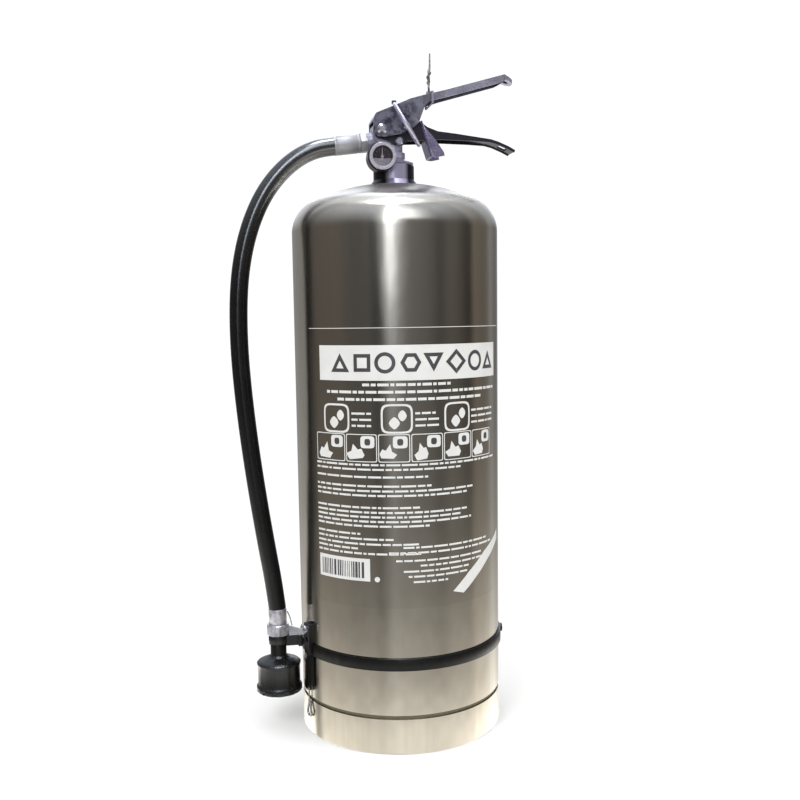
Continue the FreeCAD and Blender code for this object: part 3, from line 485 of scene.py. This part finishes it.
def add_floor():
    """A round white floor, small enough to fade into the white room."""
    bm = bmesh.new()
    bmesh.ops.create_circle(bm, cap_ends=True, segments=128, radius=FLOOR_RADIUS)
    mesh = bpy.data.meshes.new("floor")
    bm.to_mesh(mesh)
    bm.free()
    floor = bpy.data.objects.new("floor", mesh)
    floor.location = (0, 0, -FLOOR_DROP)
    scene.collection.objects.link(floor)
    mat, tree, shader = principled("floor")
    tree.put(shader.inputs["Base Color"], rgba(FLOOR_WHITE))
    shader.inputs["Roughness"].default_value = 0.9
    shader.inputs["Specular IOR Level"].default_value = 0.1
    mesh.materials.append(mat)
    floor.visible_glossy = False


# ---- pieces ----

def new_piece(name, mesh, body, mat):
    piece = bpy.data.objects.new(name, mesh)
    scene.collection.objects.link(piece)
    mesh.materials.append(mat)
    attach(piece, body)
    return piece


HOSE_RADIUS = 7.8 * MM
# The control points of its line, (x, z) in millimetres, from the valve's ferrule to the nozzle's.
HOSE_ROUTE = [
    (-52.0, 512.6), (-60.2, 511.6), (-69.3, 509.3), (-79.0, 505.1), (-88.3, 499.1), (-97.1, 491.5),
    (-105.3, 482.5), (-112.8, 472.0), (-119.6, 459.5), (-126.1, 443.8), (-131.9, 424.0), (-136.3, 399.0),
    (-138.4, 366.0), (-137.8, 325.0), (-133.4, 270.0), (-126.6, 212.5), (-119.2, 161.0), (-114.4, 131.0),
    (-111.8, 107.0),
]


def add_hose(mat):
    """The hose: a real length of smooth rubber tube from the valve's ferrule to the nozzle's."""
    curve = bpy.data.curves.new("hose_tube", "CURVE")
    curve.dimensions = "3D"
    spline = curve.splines.new("NURBS")
    spline.points.add(len(HOSE_ROUTE) - 1)
    for point, (x, z) in zip(spline.points, HOSE_ROUTE):
        point.co = (x * MM, 0.0, z * MM, 1.0)
    spline.order_u = 3
    spline.use_endpoint_u = True
    spline.resolution_u = 16
    curve.bevel_depth = HOSE_RADIUS
    curve.bevel_resolution = 12
    curve.materials.append(mat)
    piece = bpy.data.objects.new("hose_tube", curve)
    scene.collection.objects.link(piece)
    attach(piece, "extinguisher")
    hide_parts("hose")
    x, z = HOSE_ROUTE[0]


# ---- the shell ----

shell_low, shell_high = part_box("cylinder_shell")
BODY_R = round(shell_high.x / MM, 1)
SEAM_Z = round(shell_low.z / MM, 1)
CROWN_R = 2 * BODY_R
KNUCKLE_R = BODY_R / 3
DOME_TOP_Z = 480.8
WALL = 1.2
SPIGOT_R = 15.5
ROLLED_EDGE = 0.5
SHELL_ROWS = 40
HEAD_STEPS = 24
TURN_STEPS = 256
SHARP_ANGLE = math.radians(35)


def lathe_mesh(name, outline):
    """Turn a list of (radius, height) points, in millimetres, about the Z axis."""
    verts = []
    faces = []
    count = len(outline)
    for k in range(TURN_STEPS):
        turn = 2 * math.pi * k / TURN_STEPS
        c, s = math.cos(turn), math.sin(turn)
        for r, z in outline:
            verts.append((r * c * MM, r * s * MM, z * MM))
    for k in range(TURN_STEPS):
        here, after = k * count, (k + 1) % TURN_STEPS * count
        for i in range(count - 1):
            faces.append((here + i, after + i, after + i + 1, here + i + 1))
    mesh = bpy.data.meshes.new(name)
    mesh.from_pydata(verts, [], faces)
    mesh.shade_smooth()
    mesh.set_sharp_from_angle(angle=SHARP_ANGLE)
    return mesh


def dome_outline(inset, steps):
    """The head's outline from the rim to the neck, at a depth inside its outer face."""
    knuckle_x = BODY_R - KNUCKLE_R
    drop = math.sqrt((CROWN_R - KNUCKLE_R) ** 2 - knuckle_x ** 2)
    base = DOME_TOP_Z - CROWN_R
    join = math.atan2(drop, knuckle_x)
    crown = CROWN_R - inset
    knuckle = KNUCKLE_R - inset
    hole = math.acos(SPIGOT_R / crown)
    points = []
    for k in range(steps):
        a = join * k / (steps - 1)
        points.append((knuckle_x + knuckle * math.cos(a), base + drop + knuckle * math.sin(a)))
    for k in range(1, steps):
        a = join + (hole - join) * k / (steps - 1)
        points.append((crown * math.cos(a), base + crown * math.sin(a)))
    return points


def add_shell(mat):
    """The drawn shell in fine facets, its lower edge rolled slightly into the weld groove."""
    foot = SEAM_Z + ROLLED_EDGE
    outline = [(BODY_R - WALL, SEAM_Z), (BODY_R - ROLLED_EDGE, SEAM_Z), (BODY_R, foot)]
    outer = dome_outline(0, HEAD_STEPS)
    rim_z = outer[0][1]
    for k in range(1, SHELL_ROWS):
        outline.append((BODY_R, foot + (rim_z - foot) * k / SHELL_ROWS))
    outline += outer
    outline += dome_outline(WALL, HEAD_STEPS)[::-1]
    outline.append((BODY_R - WALL, SEAM_Z))
    piece = new_piece("shell_skin", lathe_mesh("shell_skin", outline), "extinguisher", mat)
    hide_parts("cylinder_shell")


# ---- shapes for the printed label ----

FILM = 0.2
# How far round to either side the prints may reach, and the width of the flat strips they are bent in.
PRINT_REACH = 104
STRIP_WIDTH = 2
DISC_SIDES, RING_SIDES = 16, 32

# Plain bars that stand in for fine print: lengths and gap, and their height as a share of the line's.
SHORTEST_BAR, LONGEST_BAR, BAR_GAP = 2.5, 13.0, 1.3
BAR_LOW, BAR_HIGH = 0.15, 0.80


def superellipse(s, z, a, b, sides, power):
    """A closed curve about a centre: an ellipse at power 2, boxier above it."""
    points = []
    for k in range(sides):
        turn = 2 * math.pi * (k + 0.5) / sides
        c, n = math.cos(turn), math.sin(turn)
        points.append((
            s + a * math.copysign(abs(c) ** (2 / power), c),
            z + b * math.copysign(abs(n) ** (2 / power), n)))
    return points


class Print:
    """Flat shapes laid out in millimetres round the cylinder: s along it from the front, z up it."""

    def __init__(self, lift):
        self.bm = bmesh.new()
        self.radius = BODY_R + FILM + lift

    def shape(self, points):
        self.bm.faces.new([self.bm.verts.new((s, z, 0)) for s, z in points])

    def box(self, s, z, wide, tall):
        self.shape([(s, z), (s + wide, z), (s + wide, z + tall), (s, z + tall)])

    def disc(self, s, z, wide, tall, power=2.0):
        """A disc, or with a higher power a rounded box, about a centre."""
        self.shape(superellipse(s, z, wide / 2, tall / 2, DISC_SIDES, power))

    def ring(self, s, z, wide, tall, line, power=5.0):
        """A rounded frame of an even line about a centre."""
        outer = superellipse(s, z, wide / 2, tall / 2, RING_SIDES, power)
        inner = superellipse(s, z, wide / 2 - line, tall / 2 - line, RING_SIDES, power)
        for k in range(RING_SIDES):
            j = (k + 1) % RING_SIDES
            self.shape([outer[k], outer[j], inner[j], inner[k]])

    def mark(self, s, z, radius, sides, turn, line):
        """The outline of a regular figure."""
        inner = 1 - line / (radius * math.cos(math.pi / sides))
        points = []
        for k in range(sides):
            a = math.radians(turn) + 2 * math.pi * k / sides
            points.append((radius * math.cos(a), radius * math.sin(a)))
        for (xa, za), (xb, zb) in zip(points, points[1:] + points[:1]):
            self.shape([
                (s + xa, z + za), (s + xb, z + zb),
                (s + xb * inner, z + zb * inner), (s + xa * inner, z + za * inner)])

    def bars(self, s, z, wide, tall):
        """A line of plain bars of one height, standing in for a line of fine print."""
        end = s + wide
        low, high = BAR_LOW * tall, BAR_HIGH * tall
        while s < end - SHORTEST_BAR:
            bar = min(random.uniform(SHORTEST_BAR, LONGEST_BAR), end - s)
            self.box(s, z + low, bar, high - low)
            s += bar + BAR_GAP

    def mesh(self, name):
        """The shapes cut into narrow strips and bent round the cylinder."""
        for s in range(-PRINT_REACH, PRINT_REACH + 1, STRIP_WIDTH):
            geom = self.bm.verts[:] + self.bm.edges[:] + self.bm.faces[:]
            bmesh.ops.bisect_plane(self.bm, geom=geom, plane_co=(s, 0, 0), plane_no=(1, 0, 0))
        for v in self.bm.verts:
            turn = v.co.x / BODY_R
            v.co = Vector((math.sin(turn) * self.radius, -math.cos(turn) * self.radius, v.co.y)) * MM
        mesh = bpy.data.meshes.new(name)
        self.bm.to_mesh(mesh)
        self.bm.free()
        mesh.shade_smooth()
        return mesh


# ---- the label's layout, in millimetres: s along the cylinder from the front, z up from the floor ----

# How far each layer of print lies above the film.
LIGHT_LIFT, DARK_LIFT, SWEEP_LIFT = 0.04, 0.07, 0.10
LEFT = -92.0

RULE = (-100, 356.6, 200, 0.5)
TITLE_BAND = (-86, 314.5, 176, 28.5)
# The title's geometric marks: place, number of sides and turn in degrees.
MARKS = (
    (-64, 3, 90), (-44, 4, 45), (-25, 32, 0), (-4, 6, 0), (15, 3, -90), (36, 4, 0), (57, 32, 0), (76, 3, 90),
)
MARKS_Z = 328.8
MARK_LINE = 3.0
POINTED_MARK_R, ROUND_MARK_R = 10.2, 8.6
# A triangle's centre lies this far from the middle of its height.
TRIANGLE_SHIFT = 2.4

# Lines under the title: left end, height and length.
HEAD_LINES = ((-44, 309.5, 76), (-78, 303.6, 165), (-67, 297.6, 134))
HEAD_TALL, NOTE_TALL, BODY_TALL, FOOT_TALL = 3.4, 2.6, 2.5, 2.4

# Round-cornered signs: middle, and length of the notes beside each.
SIGNS = ((-69, 17), (-16, 20), (37, 32))
SIGN_Z, SIGN_SIZE, SIGN_LINE = 283.5, (26, 24), 1.6
# The blobs in a sign: their middles from the sign's, their sizes and powers.
BLOBS = ((-2, -3.5, 9, 10, 1.4), (4.5, 2.5, 7, 9, 1.6))
NOTE_START = 15
NOTE_HEIGHTS = (286.5, 281.5, 276.5)

# The row of boxes: its edges, and the gap between two frames.
BOX_EDGES = (-92, -60, -32, -5, 23, 52, 80)
BOX_GAP = 1
BOX_Z, BOX_TALL, BOX_LINE = 259.5, 23, 0.7
SQUARE_POWER = 20.0
# The tag in each box lies this far in from its right edge; sizes and powers of the tag and its dark eye.
TAG_INSET, TAG_Z = 8.5, 264.5
TAG, TAG_EYE = (12, 10, 5.0), (5, 5.5, 3.0)
# The mark in each box, about a place left of the box's middle.
FLAME_ASIDE = 5
FLAME = ((-6, 251), (5, 250.2), (8, 254), (3.5, 257), (2, 263.5), (-2, 258.5), (-5, 259.5), (-7.5, 254.5))

# Lines that start at the left edge: height and length.
LINES_UNDER_BOXES = ((244.6, 182), (240.8, 132))
PARAGRAPHS = (
    (234.5, 104), (227.0, 104), (223.0, 145), (219.2, 140), (209.2, 94), (205.2, 138), (201.4, 132),
    (197.6, 143), (193.8, 102), (187.0, 44), (182.8, 72), (178.6, 96), (174.6, 42), (170.6, 98),
)

STRIPED_PATCH = (-91, 148.5, 51, 19)
STRIPES_START, STRIPES_END = -88.0, -45
STRIPES_Z, STRIPES_TALL = 151, 13.5
STRIPE_WIDTHS, STRIPE_GAPS = (0.6, 0.9, 1.4, 2.2), (0.7, 1.0, 1.5)
SPOT = (-34, 150.5, 4.5, 4.5)

# The lines beside the sweep: height, left end and length.
FOOT_LINES = (
    (176, -12, 84), (171.6, -24, 104), (165, -18, 82), (160.6, 2, 62), (156, -12, 60), (151.6, -8, 54),
    (147, -4, 32),
)

# The slanting sweep's lower and upper edges, from left to right.
SWEEP_LOW = ((42, 134), (58, 145.5), (75, 157), (91, 166), (98, 170))
SWEEP_HIGH = ((31, 137), (48, 151), (69, 165), (91, 175), (98, 179))


def print_title(light, dark):
    """A thin rule, a light band with plain geometric outlines on it, and three centred lines."""
    light.box(*RULE)
    light.box(*TITLE_BAND)
    for place, sides, turn in MARKS:
        radius = POINTED_MARK_R if sides < 5 else ROUND_MARK_R
        z = MARKS_Z
        if sides == 3:
            z -= math.copysign(TRIANGLE_SHIFT, turn)
        dark.mark(place, z, radius, sides, turn, MARK_LINE)
    for s, z, wide in HEAD_LINES:
        light.bars(s, z, wide, HEAD_TALL)


def print_signs(light):
    """Three round-cornered signs with two blobs in each and notes beside them."""
    for s, note in SIGNS:
        light.ring(s, SIGN_Z, *SIGN_SIZE, SIGN_LINE)
        for aside, up, wide, tall, power in BLOBS:
            light.disc(s + aside, SIGN_Z + up, wide, tall, power)
        for z in NOTE_HEIGHTS:
            light.bars(s + NOTE_START, z, note, NOTE_TALL)


def print_boxes(light, dark):
    """Six framed boxes, each with a tag and a flame-like mark of its own shape."""
    for left, right in zip(BOX_EDGES, BOX_EDGES[1:]):
        middle = (left + right) / 2
        light.ring(middle, BOX_Z, right - left - BOX_GAP, BOX_TALL, BOX_LINE, SQUARE_POWER)
        light.disc(right - TAG_INSET, TAG_Z, *TAG)
        dark.disc(right - TAG_INSET, TAG_Z, *TAG_EYE)
        sway = random.uniform(0.75, 1.15) * random.choice((-1, 1))
        light.shape([
            (middle - FLAME_ASIDE + x * sway, z + random.uniform(-1.0, 1.0)) for x, z in FLAME])


def print_stripes(light, dark):
    """A light patch with upright stripes, and a spot beside it."""
    light.box(*STRIPED_PATCH)
    s = STRIPES_START
    while s < STRIPES_END:
        wide = random.choice(STRIPE_WIDTHS)
        dark.box(s, STRIPES_Z, wide, STRIPES_TALL)
        s += wide + random.choice(STRIPE_GAPS)
    light.disc(*SPOT)


def label_prints():
    light = Print(LIGHT_LIFT)
    dark = Print(DARK_LIFT)
    sweep = Print(SWEEP_LIFT)
    print_title(light, dark)
    print_signs(light)
    print_boxes(light, dark)
    for z, wide in LINES_UNDER_BOXES:
        light.bars(LEFT, z, wide, FOOT_TALL)
    for z, wide in PARAGRAPHS:
        light.bars(LEFT, z, wide, BODY_TALL)
    print_stripes(light, dark)
    for z, s, wide in FOOT_LINES:
        light.bars(s, z, wide, FOOT_TALL)
    for a, b, c, d in zip(SWEEP_LOW, SWEEP_LOW[1:], SWEEP_HIGH[1:], SWEEP_HIGH):
        sweep.shape([a, b, c, d])
    return light, dark, sweep


def add_label(film, white, black):
    light, dark, sweep = label_prints()
    new_piece("label_light_print", light.mesh("label_light_print"), "extinguisher", white)
    new_piece("label_dark_print", dark.mesh("label_dark_print"), "extinguisher", black)
    new_piece("label_sweep_print", sweep.mesh("label_sweep_print"), "extinguisher", white)
    paint("label", film)


# ---- the gauge's dial, in millimetres from its centre ----

# The light patch over the dial's lower part is a painted reflection of the floor in the lens; its radius.
DIAL_FOOT_R = 8.8
# Inner and outer radii of the coloured arcs and of the ticks.
ARC = (6.4, 7.8)
TICK = (5.2, 6.2)
# Angles in degrees from the top: the scale's end, the working arc's end and the gap beside it.
DIAL_END, WORKING_END, ARC_GAP = 100, 34, 2
TICK_COUNT, TICK_HALF = 9, 1.5
ARC_STEP = 6
FOOT_STEPS = 24
# How far in front of the dial the painted reflection and each print lie.
FOOT_LIFT, PRINT_LIFT = 0.05, 0.08


def add_dial_piece(name, shapes, lift, mat):
    """Flat shapes just in front of the dial."""
    low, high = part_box("gauge_dial")
    bm = bmesh.new()
    for points in shapes:
        bm.faces.new([bm.verts.new((x, 0, z)) for x, z in points])
    mesh = bpy.data.meshes.new(name)
    bm.to_mesh(mesh)
    bm.free()
    middle = Vector(((low[0] + high[0]) / 2, low[1] - lift * MM, (low[2] + high[2]) / 2))
    mesh.transform(Matrix.Translation(middle) @ Matrix.Scale(MM, 4))
    new_piece(name, mesh, "extinguisher", mat)


def arc_band(inner, outer, start, end):
    """Quads of a ring, by angles in degrees clockwise from the top."""
    quads = []
    steps = max(1, round((end - start) / ARC_STEP))
    for k in range(steps):
        a, b = (math.radians(start + (end - start) * j / steps) for j in (k, k + 1))
        quads.append([
            (inner * math.sin(a), inner * math.cos(a)), (outer * math.sin(a), outer * math.cos(a)),
            (outer * math.sin(b), outer * math.cos(b)), (inner * math.sin(b), inner * math.cos(b))])
    return quads


def add_dial(mats):
    """A light patch over the dial's lower part, a painted reflection of the floor in the lens, three coloured
    arcs and a row of ticks.
    """
    foot = []
    for k in range(FOOT_STEPS + 1):
        a = math.radians(DIAL_END + (360 - 2 * DIAL_END) * k / FOOT_STEPS)
        foot.append((DIAL_FOOT_R * math.sin(a), DIAL_FOOT_R * math.cos(a)))
    add_dial_piece("dial_painted_reflection", [foot], FOOT_LIFT, mats["dial_light"])
    faulty = WORKING_END + ARC_GAP
    for name, start, end, key in (
            ("dial_low_arc", -DIAL_END, -faulty, "dial_red"),
            ("dial_work_arc", -WORKING_END, WORKING_END, "dial_green"),
            ("dial_high_arc", faulty, DIAL_END, "dial_red")):
        add_dial_piece(name, arc_band(*ARC, start, end), PRINT_LIFT, mats[key])
    ticks = []
    for k in range(TICK_COUNT):
        a = -DIAL_END + 2 * DIAL_END / (TICK_COUNT - 1) * k
        ticks += arc_band(*TICK, a - TICK_HALF, a + TICK_HALF)
    add_dial_piece("dial_ticks", ticks, PRINT_LIFT, mats["dial_light"])


# ---- finish of the CAD nodes ----

def paint(name, mat):
    mesh = nodes[name].data
    mesh.materials.clear()
    mesh.materials.append(mat)


SOFTEN_ANGLE = math.radians(32.0)
WELD_REACH = 0.002 * MM


def soften(name, width):
    """Round a node's sharp edges with a small bevel."""
    piece = nodes[name]
    weld = piece.modifiers.new("weld", "WELD")
    weld.merge_threshold = WELD_REACH
    bevel = piece.modifiers.new("bevel", "BEVEL")
    bevel.width = width * MM
    bevel.segments = 2
    bevel.limit_method = "ANGLE"
    bevel.angle_limit = SOFTEN_ANGLE
    bevel.harden_normals = True


# Heights between which the seal's strip turns from lilac to nearly black.
SEAL_TURN_Z = (0.5575, 0.5605)
LILAC, LILAC_SHADE = (0.20, 0.18, 0.25), (0.12, 0.11, 0.16)
# The colour of the seal's nearly black standing end, and of its lighter spots.
END_DARK, END_DARK_SPOT = (0.035, 0.035, 0.037), (0.26, 0.26, 0.26)


def seal_plastic():
    """The seal's strip: lilac where it goes round the lever, its standing end nearly black."""
    mat, tree, shader = principled("seal_plastic")
    up = tree.span(tree.place()[2], 0, 1, *SEAL_TURN_Z)
    undarkened = tree.mix(tree.span(tree.noise(300), 0, 1), LILAC, LILAC_SHADE)
    dark_end = tree.mix(tree.span(tree.noise(210, detail=4.0), 0, 1, 0.45, 0.65), END_DARK, END_DARK_SPOT)
    tree.put(shader.inputs["Base Color"], tree.mix(up, undarkened, dark_end))
    tree.put(shader.inputs["Roughness"], tree.span(tree.noise(900), 0.4, 0.6))
    return mat


def lens_glass():
    """Clear plastic with a slight cloud in it."""
    mat, tree, shader = principled("lens")
    shader.inputs["Transmission Weight"].default_value = 1.0
    shader.inputs["IOR"].default_value = 1.45
    shader.inputs["Roughness"].default_value = 0.02
    cloud = tree.span(tree.noise(300), 0, 0.2)
    tree.put(shader.inputs["Base Color"], tree.mix(cloud, (0.97, 0.96, 0.97), (0.9, 0.88, 0.9)))
    return mat


def steel_finishes():
    return {
        "stainless": steel("stainless", dull_top=0.26),
        "film": steel("film_over_steel", tint=times(STEEL, 0.93), rough=0.16, coat=0.2),
        # The neck's flanks are painted nearly black, a painted reflection of dark surroundings.
        "neck_steel": steel("neck_steel", tint=(0.40, 0.37, 0.50), rough=0.30, streak=0.05, anisotropy=0.8,
                            painted_dark_flanks=6.5 * MM, metal=0.55),
        "weld_steel": steel("weld_steel", tint=(0.20, 0.18, 0.13), rough=0.4),
    }


def metal_finishes():
    return {
        "cast": surface("cast_alloy", (0.40, 0.38, 0.48), 0.32, metal=0.6, shade=0.5, patch=190, grain=700,
                        depth=0.05 * MM, recess_shade=6 * MM),
        "lever": surface("lever_metal", (0.45, 0.43, 0.53), 0.32, metal=0.8, shade=0.62, patch=70, grain=600,
                         recess_shade=14 * MM, root_kept_share=0.38),
        # The carrying handle's near-black colour is painted shade: it stands in for its shadowed underside.
        "handle": surface("handle_metal", (0.018, 0.016, 0.024), 0.3, metal=0.3, grain=900, recess_shade=10 * MM),
        "guard": surface("guard_metal", (0.36, 0.32, 0.48), 0.27, metal=0.85, shade=0.7, patch=90, grain=700,
                         recess_shade=10 * MM),
        "plated": surface("plated_steel", (0.62, 0.60, 0.68), 0.3, metal=0.95, grain=1200, recess_shade=3 * MM),
        "ring": surface("ring_steel", (0.60, 0.56, 0.71), 0.32, metal=0.8, grain=1200),
        "wire": surface("wire_steel", (0.40, 0.39, 0.38), 0.3, metal=1.0),
        "alloy": surface("bright_alloy", (0.40, 0.395, 0.41), 0.42, metal=0.6, shade=0.85, grain=900,
                         depth=0.004 * MM),
        "collar": surface("collar_alloy", (0.62, 0.61, 0.66), 0.36, metal=0.6, shade=0.45, patch=260,
                          grain=900),
        "brass": surface("brass", (0.70, 0.52, 0.26), 0.28, metal=1.0),
        "bezel": surface("gauge_bezel", (0.66, 0.63, 0.71), 0.3, metal=0.75),
    }


def rubber_and_plastic_finishes():
    return {
        "rubber": surface("seal_rubber", (0.02, 0.02, 0.02), 0.6),
        "hose": surface("hose_rubber", (0.004, 0.004, 0.0045), 0.2, shade=0.6, patch=40, grain=700,
                        depth=0.03 * MM, spread=0.08, painted_sheen_top=True),
        "strap": surface("strap_rubber", (0.004, 0.004, 0.0035), 0.4, grain=900, depth=0.05 * MM,
                         specular=0.25),
        "nozzle": surface("nozzle_plastic", (0.005, 0.0055, 0.006), 0.28, grain=1300, depth=0.03 * MM),
        "clip": surface("clip_plastic", (0.006, 0.006, 0.0065), 0.35, grain=1300, depth=0.03 * MM),
        "gauge": surface("gauge_case", (0.012, 0.012, 0.013), 0.3, grain=1300),
        "tube_plastic": surface("tube_plastic", (0.8, 0.8, 0.77), 0.45),
        "seal": seal_plastic(),
        "seal_dark": surface("seal_dark", (0.03, 0.028, 0.035), 0.4),
        "lens": lens_glass(),
    }


def print_finishes():
    return {
        "print_white": surface("print_white", (0.60, 0.60, 0.585), 0.35, shade=0.9, coat=0.4),
        "print_black": surface("print_black", (0.05, 0.05, 0.055), 0.35, coat=0.4),
        "dial": surface("gauge_dial", (0.040, 0.018, 0.034), 0.3, patch=400, shade=0.4),
        # Light print for the ticks, also the painted reflection on the dial's lower part.
        "dial_light": surface("dial_print_and_painted_reflection", (0.50, 0.46, 0.52), 0.35, patch=400, shade=0.7),
        "dial_red": surface("dial_red_print", (0.07, 0.012, 0.022), 0.35),
        "dial_green": surface("dial_green_print", (0.022, 0.06, 0.04), 0.35),
        "needle": surface("gauge_needle", (0.62, 0.60, 0.60), 0.4),
    }


# Which CAD nodes have each finish.
FINISH = {
    "stainless": ["skirt_ring", "cylinder_shell"],
    "weld_steel": ["bottom_dish"],
    "neck_steel": ["neck_ring"],
    "rubber": ["neck_oring", "stem_seal"],
    "cast": ["valve_body"],
    "brass": ["inlet_plug", "valve_stem", "gauge_tube", "spray_insert"],
    "tube_plastic": ["dip_tube", "dip_strainer"],
    "wire": ["valve_spring", "clip_wire", "tail_loop"],
    "lever": ["squeeze_lever"],
    "handle": ["carrying_handle"],
    "guard": ["knuckle_guard"],
    "plated": ["lever_pivot", "handle_screw_near", "handle_screw_far", "safety_pin", "buckle_screw"],
    "ring": ["pull_ring"],
    "seal": ["seal_band"],
    "seal_dark": ["seal_cord"],
    "gauge": ["gauge_case"],
    "bezel": ["gauge_bezel"],
    "dial": ["gauge_dial"],
    "needle": ["gauge_needle"],
    "lens": ["gauge_lens"],
    "hose": ["hose"],
    "alloy": ["hose_nut", "hose_ferrule", "clip_bar"],
    "collar": ["nozzle_ferrule", "nozzle_collar"],
    "nozzle": ["nozzle_horn"],
    "strap": ["strap_band", "strap_tail_a", "strap_tail_b"],
    "clip": ["nozzle_clip", "strap_buckle", "strap_stud"],
}

# The width of the bevel on each softened node, in millimetres.
SOFTENED = {
    "squeeze_lever": 0.7, "carrying_handle": 0.6, "knuckle_guard": 0.7, "valve_body": 0.6, "hose_nut": 0.5,
    "nozzle_collar": 0.4, "nozzle_horn": 0.4, "strap_buckle": 0.5, "nozzle_clip": 0.5, "clip_bar": 0.3,
    "seal_band": 0.15, "strap_band": 0.35, "strap_tail_a": 0.4, "strap_tail_b": 0.4, "gauge_bezel": 0.3,
    "strap_stud": 0.6, "buckle_screw": 0.3, "nozzle_ferrule": 0.2, "hose_ferrule": 0.2,
}


def main():
    add_camera()
    mats = steel_finishes() | metal_finishes() | rubber_and_plastic_finishes() | print_finishes()
    add_hose(mats["hose"])
    for key, names in FINISH.items():
        for name in names:
            paint(name, mats[key])
    for name, width in SOFTENED.items():
        soften(name, width)
    add_shell(mats["stainless"])
    add_label(mats["film"], mats["print_white"], mats["print_black"])
    add_dial(mats)
    add_world()
    add_floor()
    for name, (place, power) in LAMPS.items():
        add_lamp(name, place, power)


main()
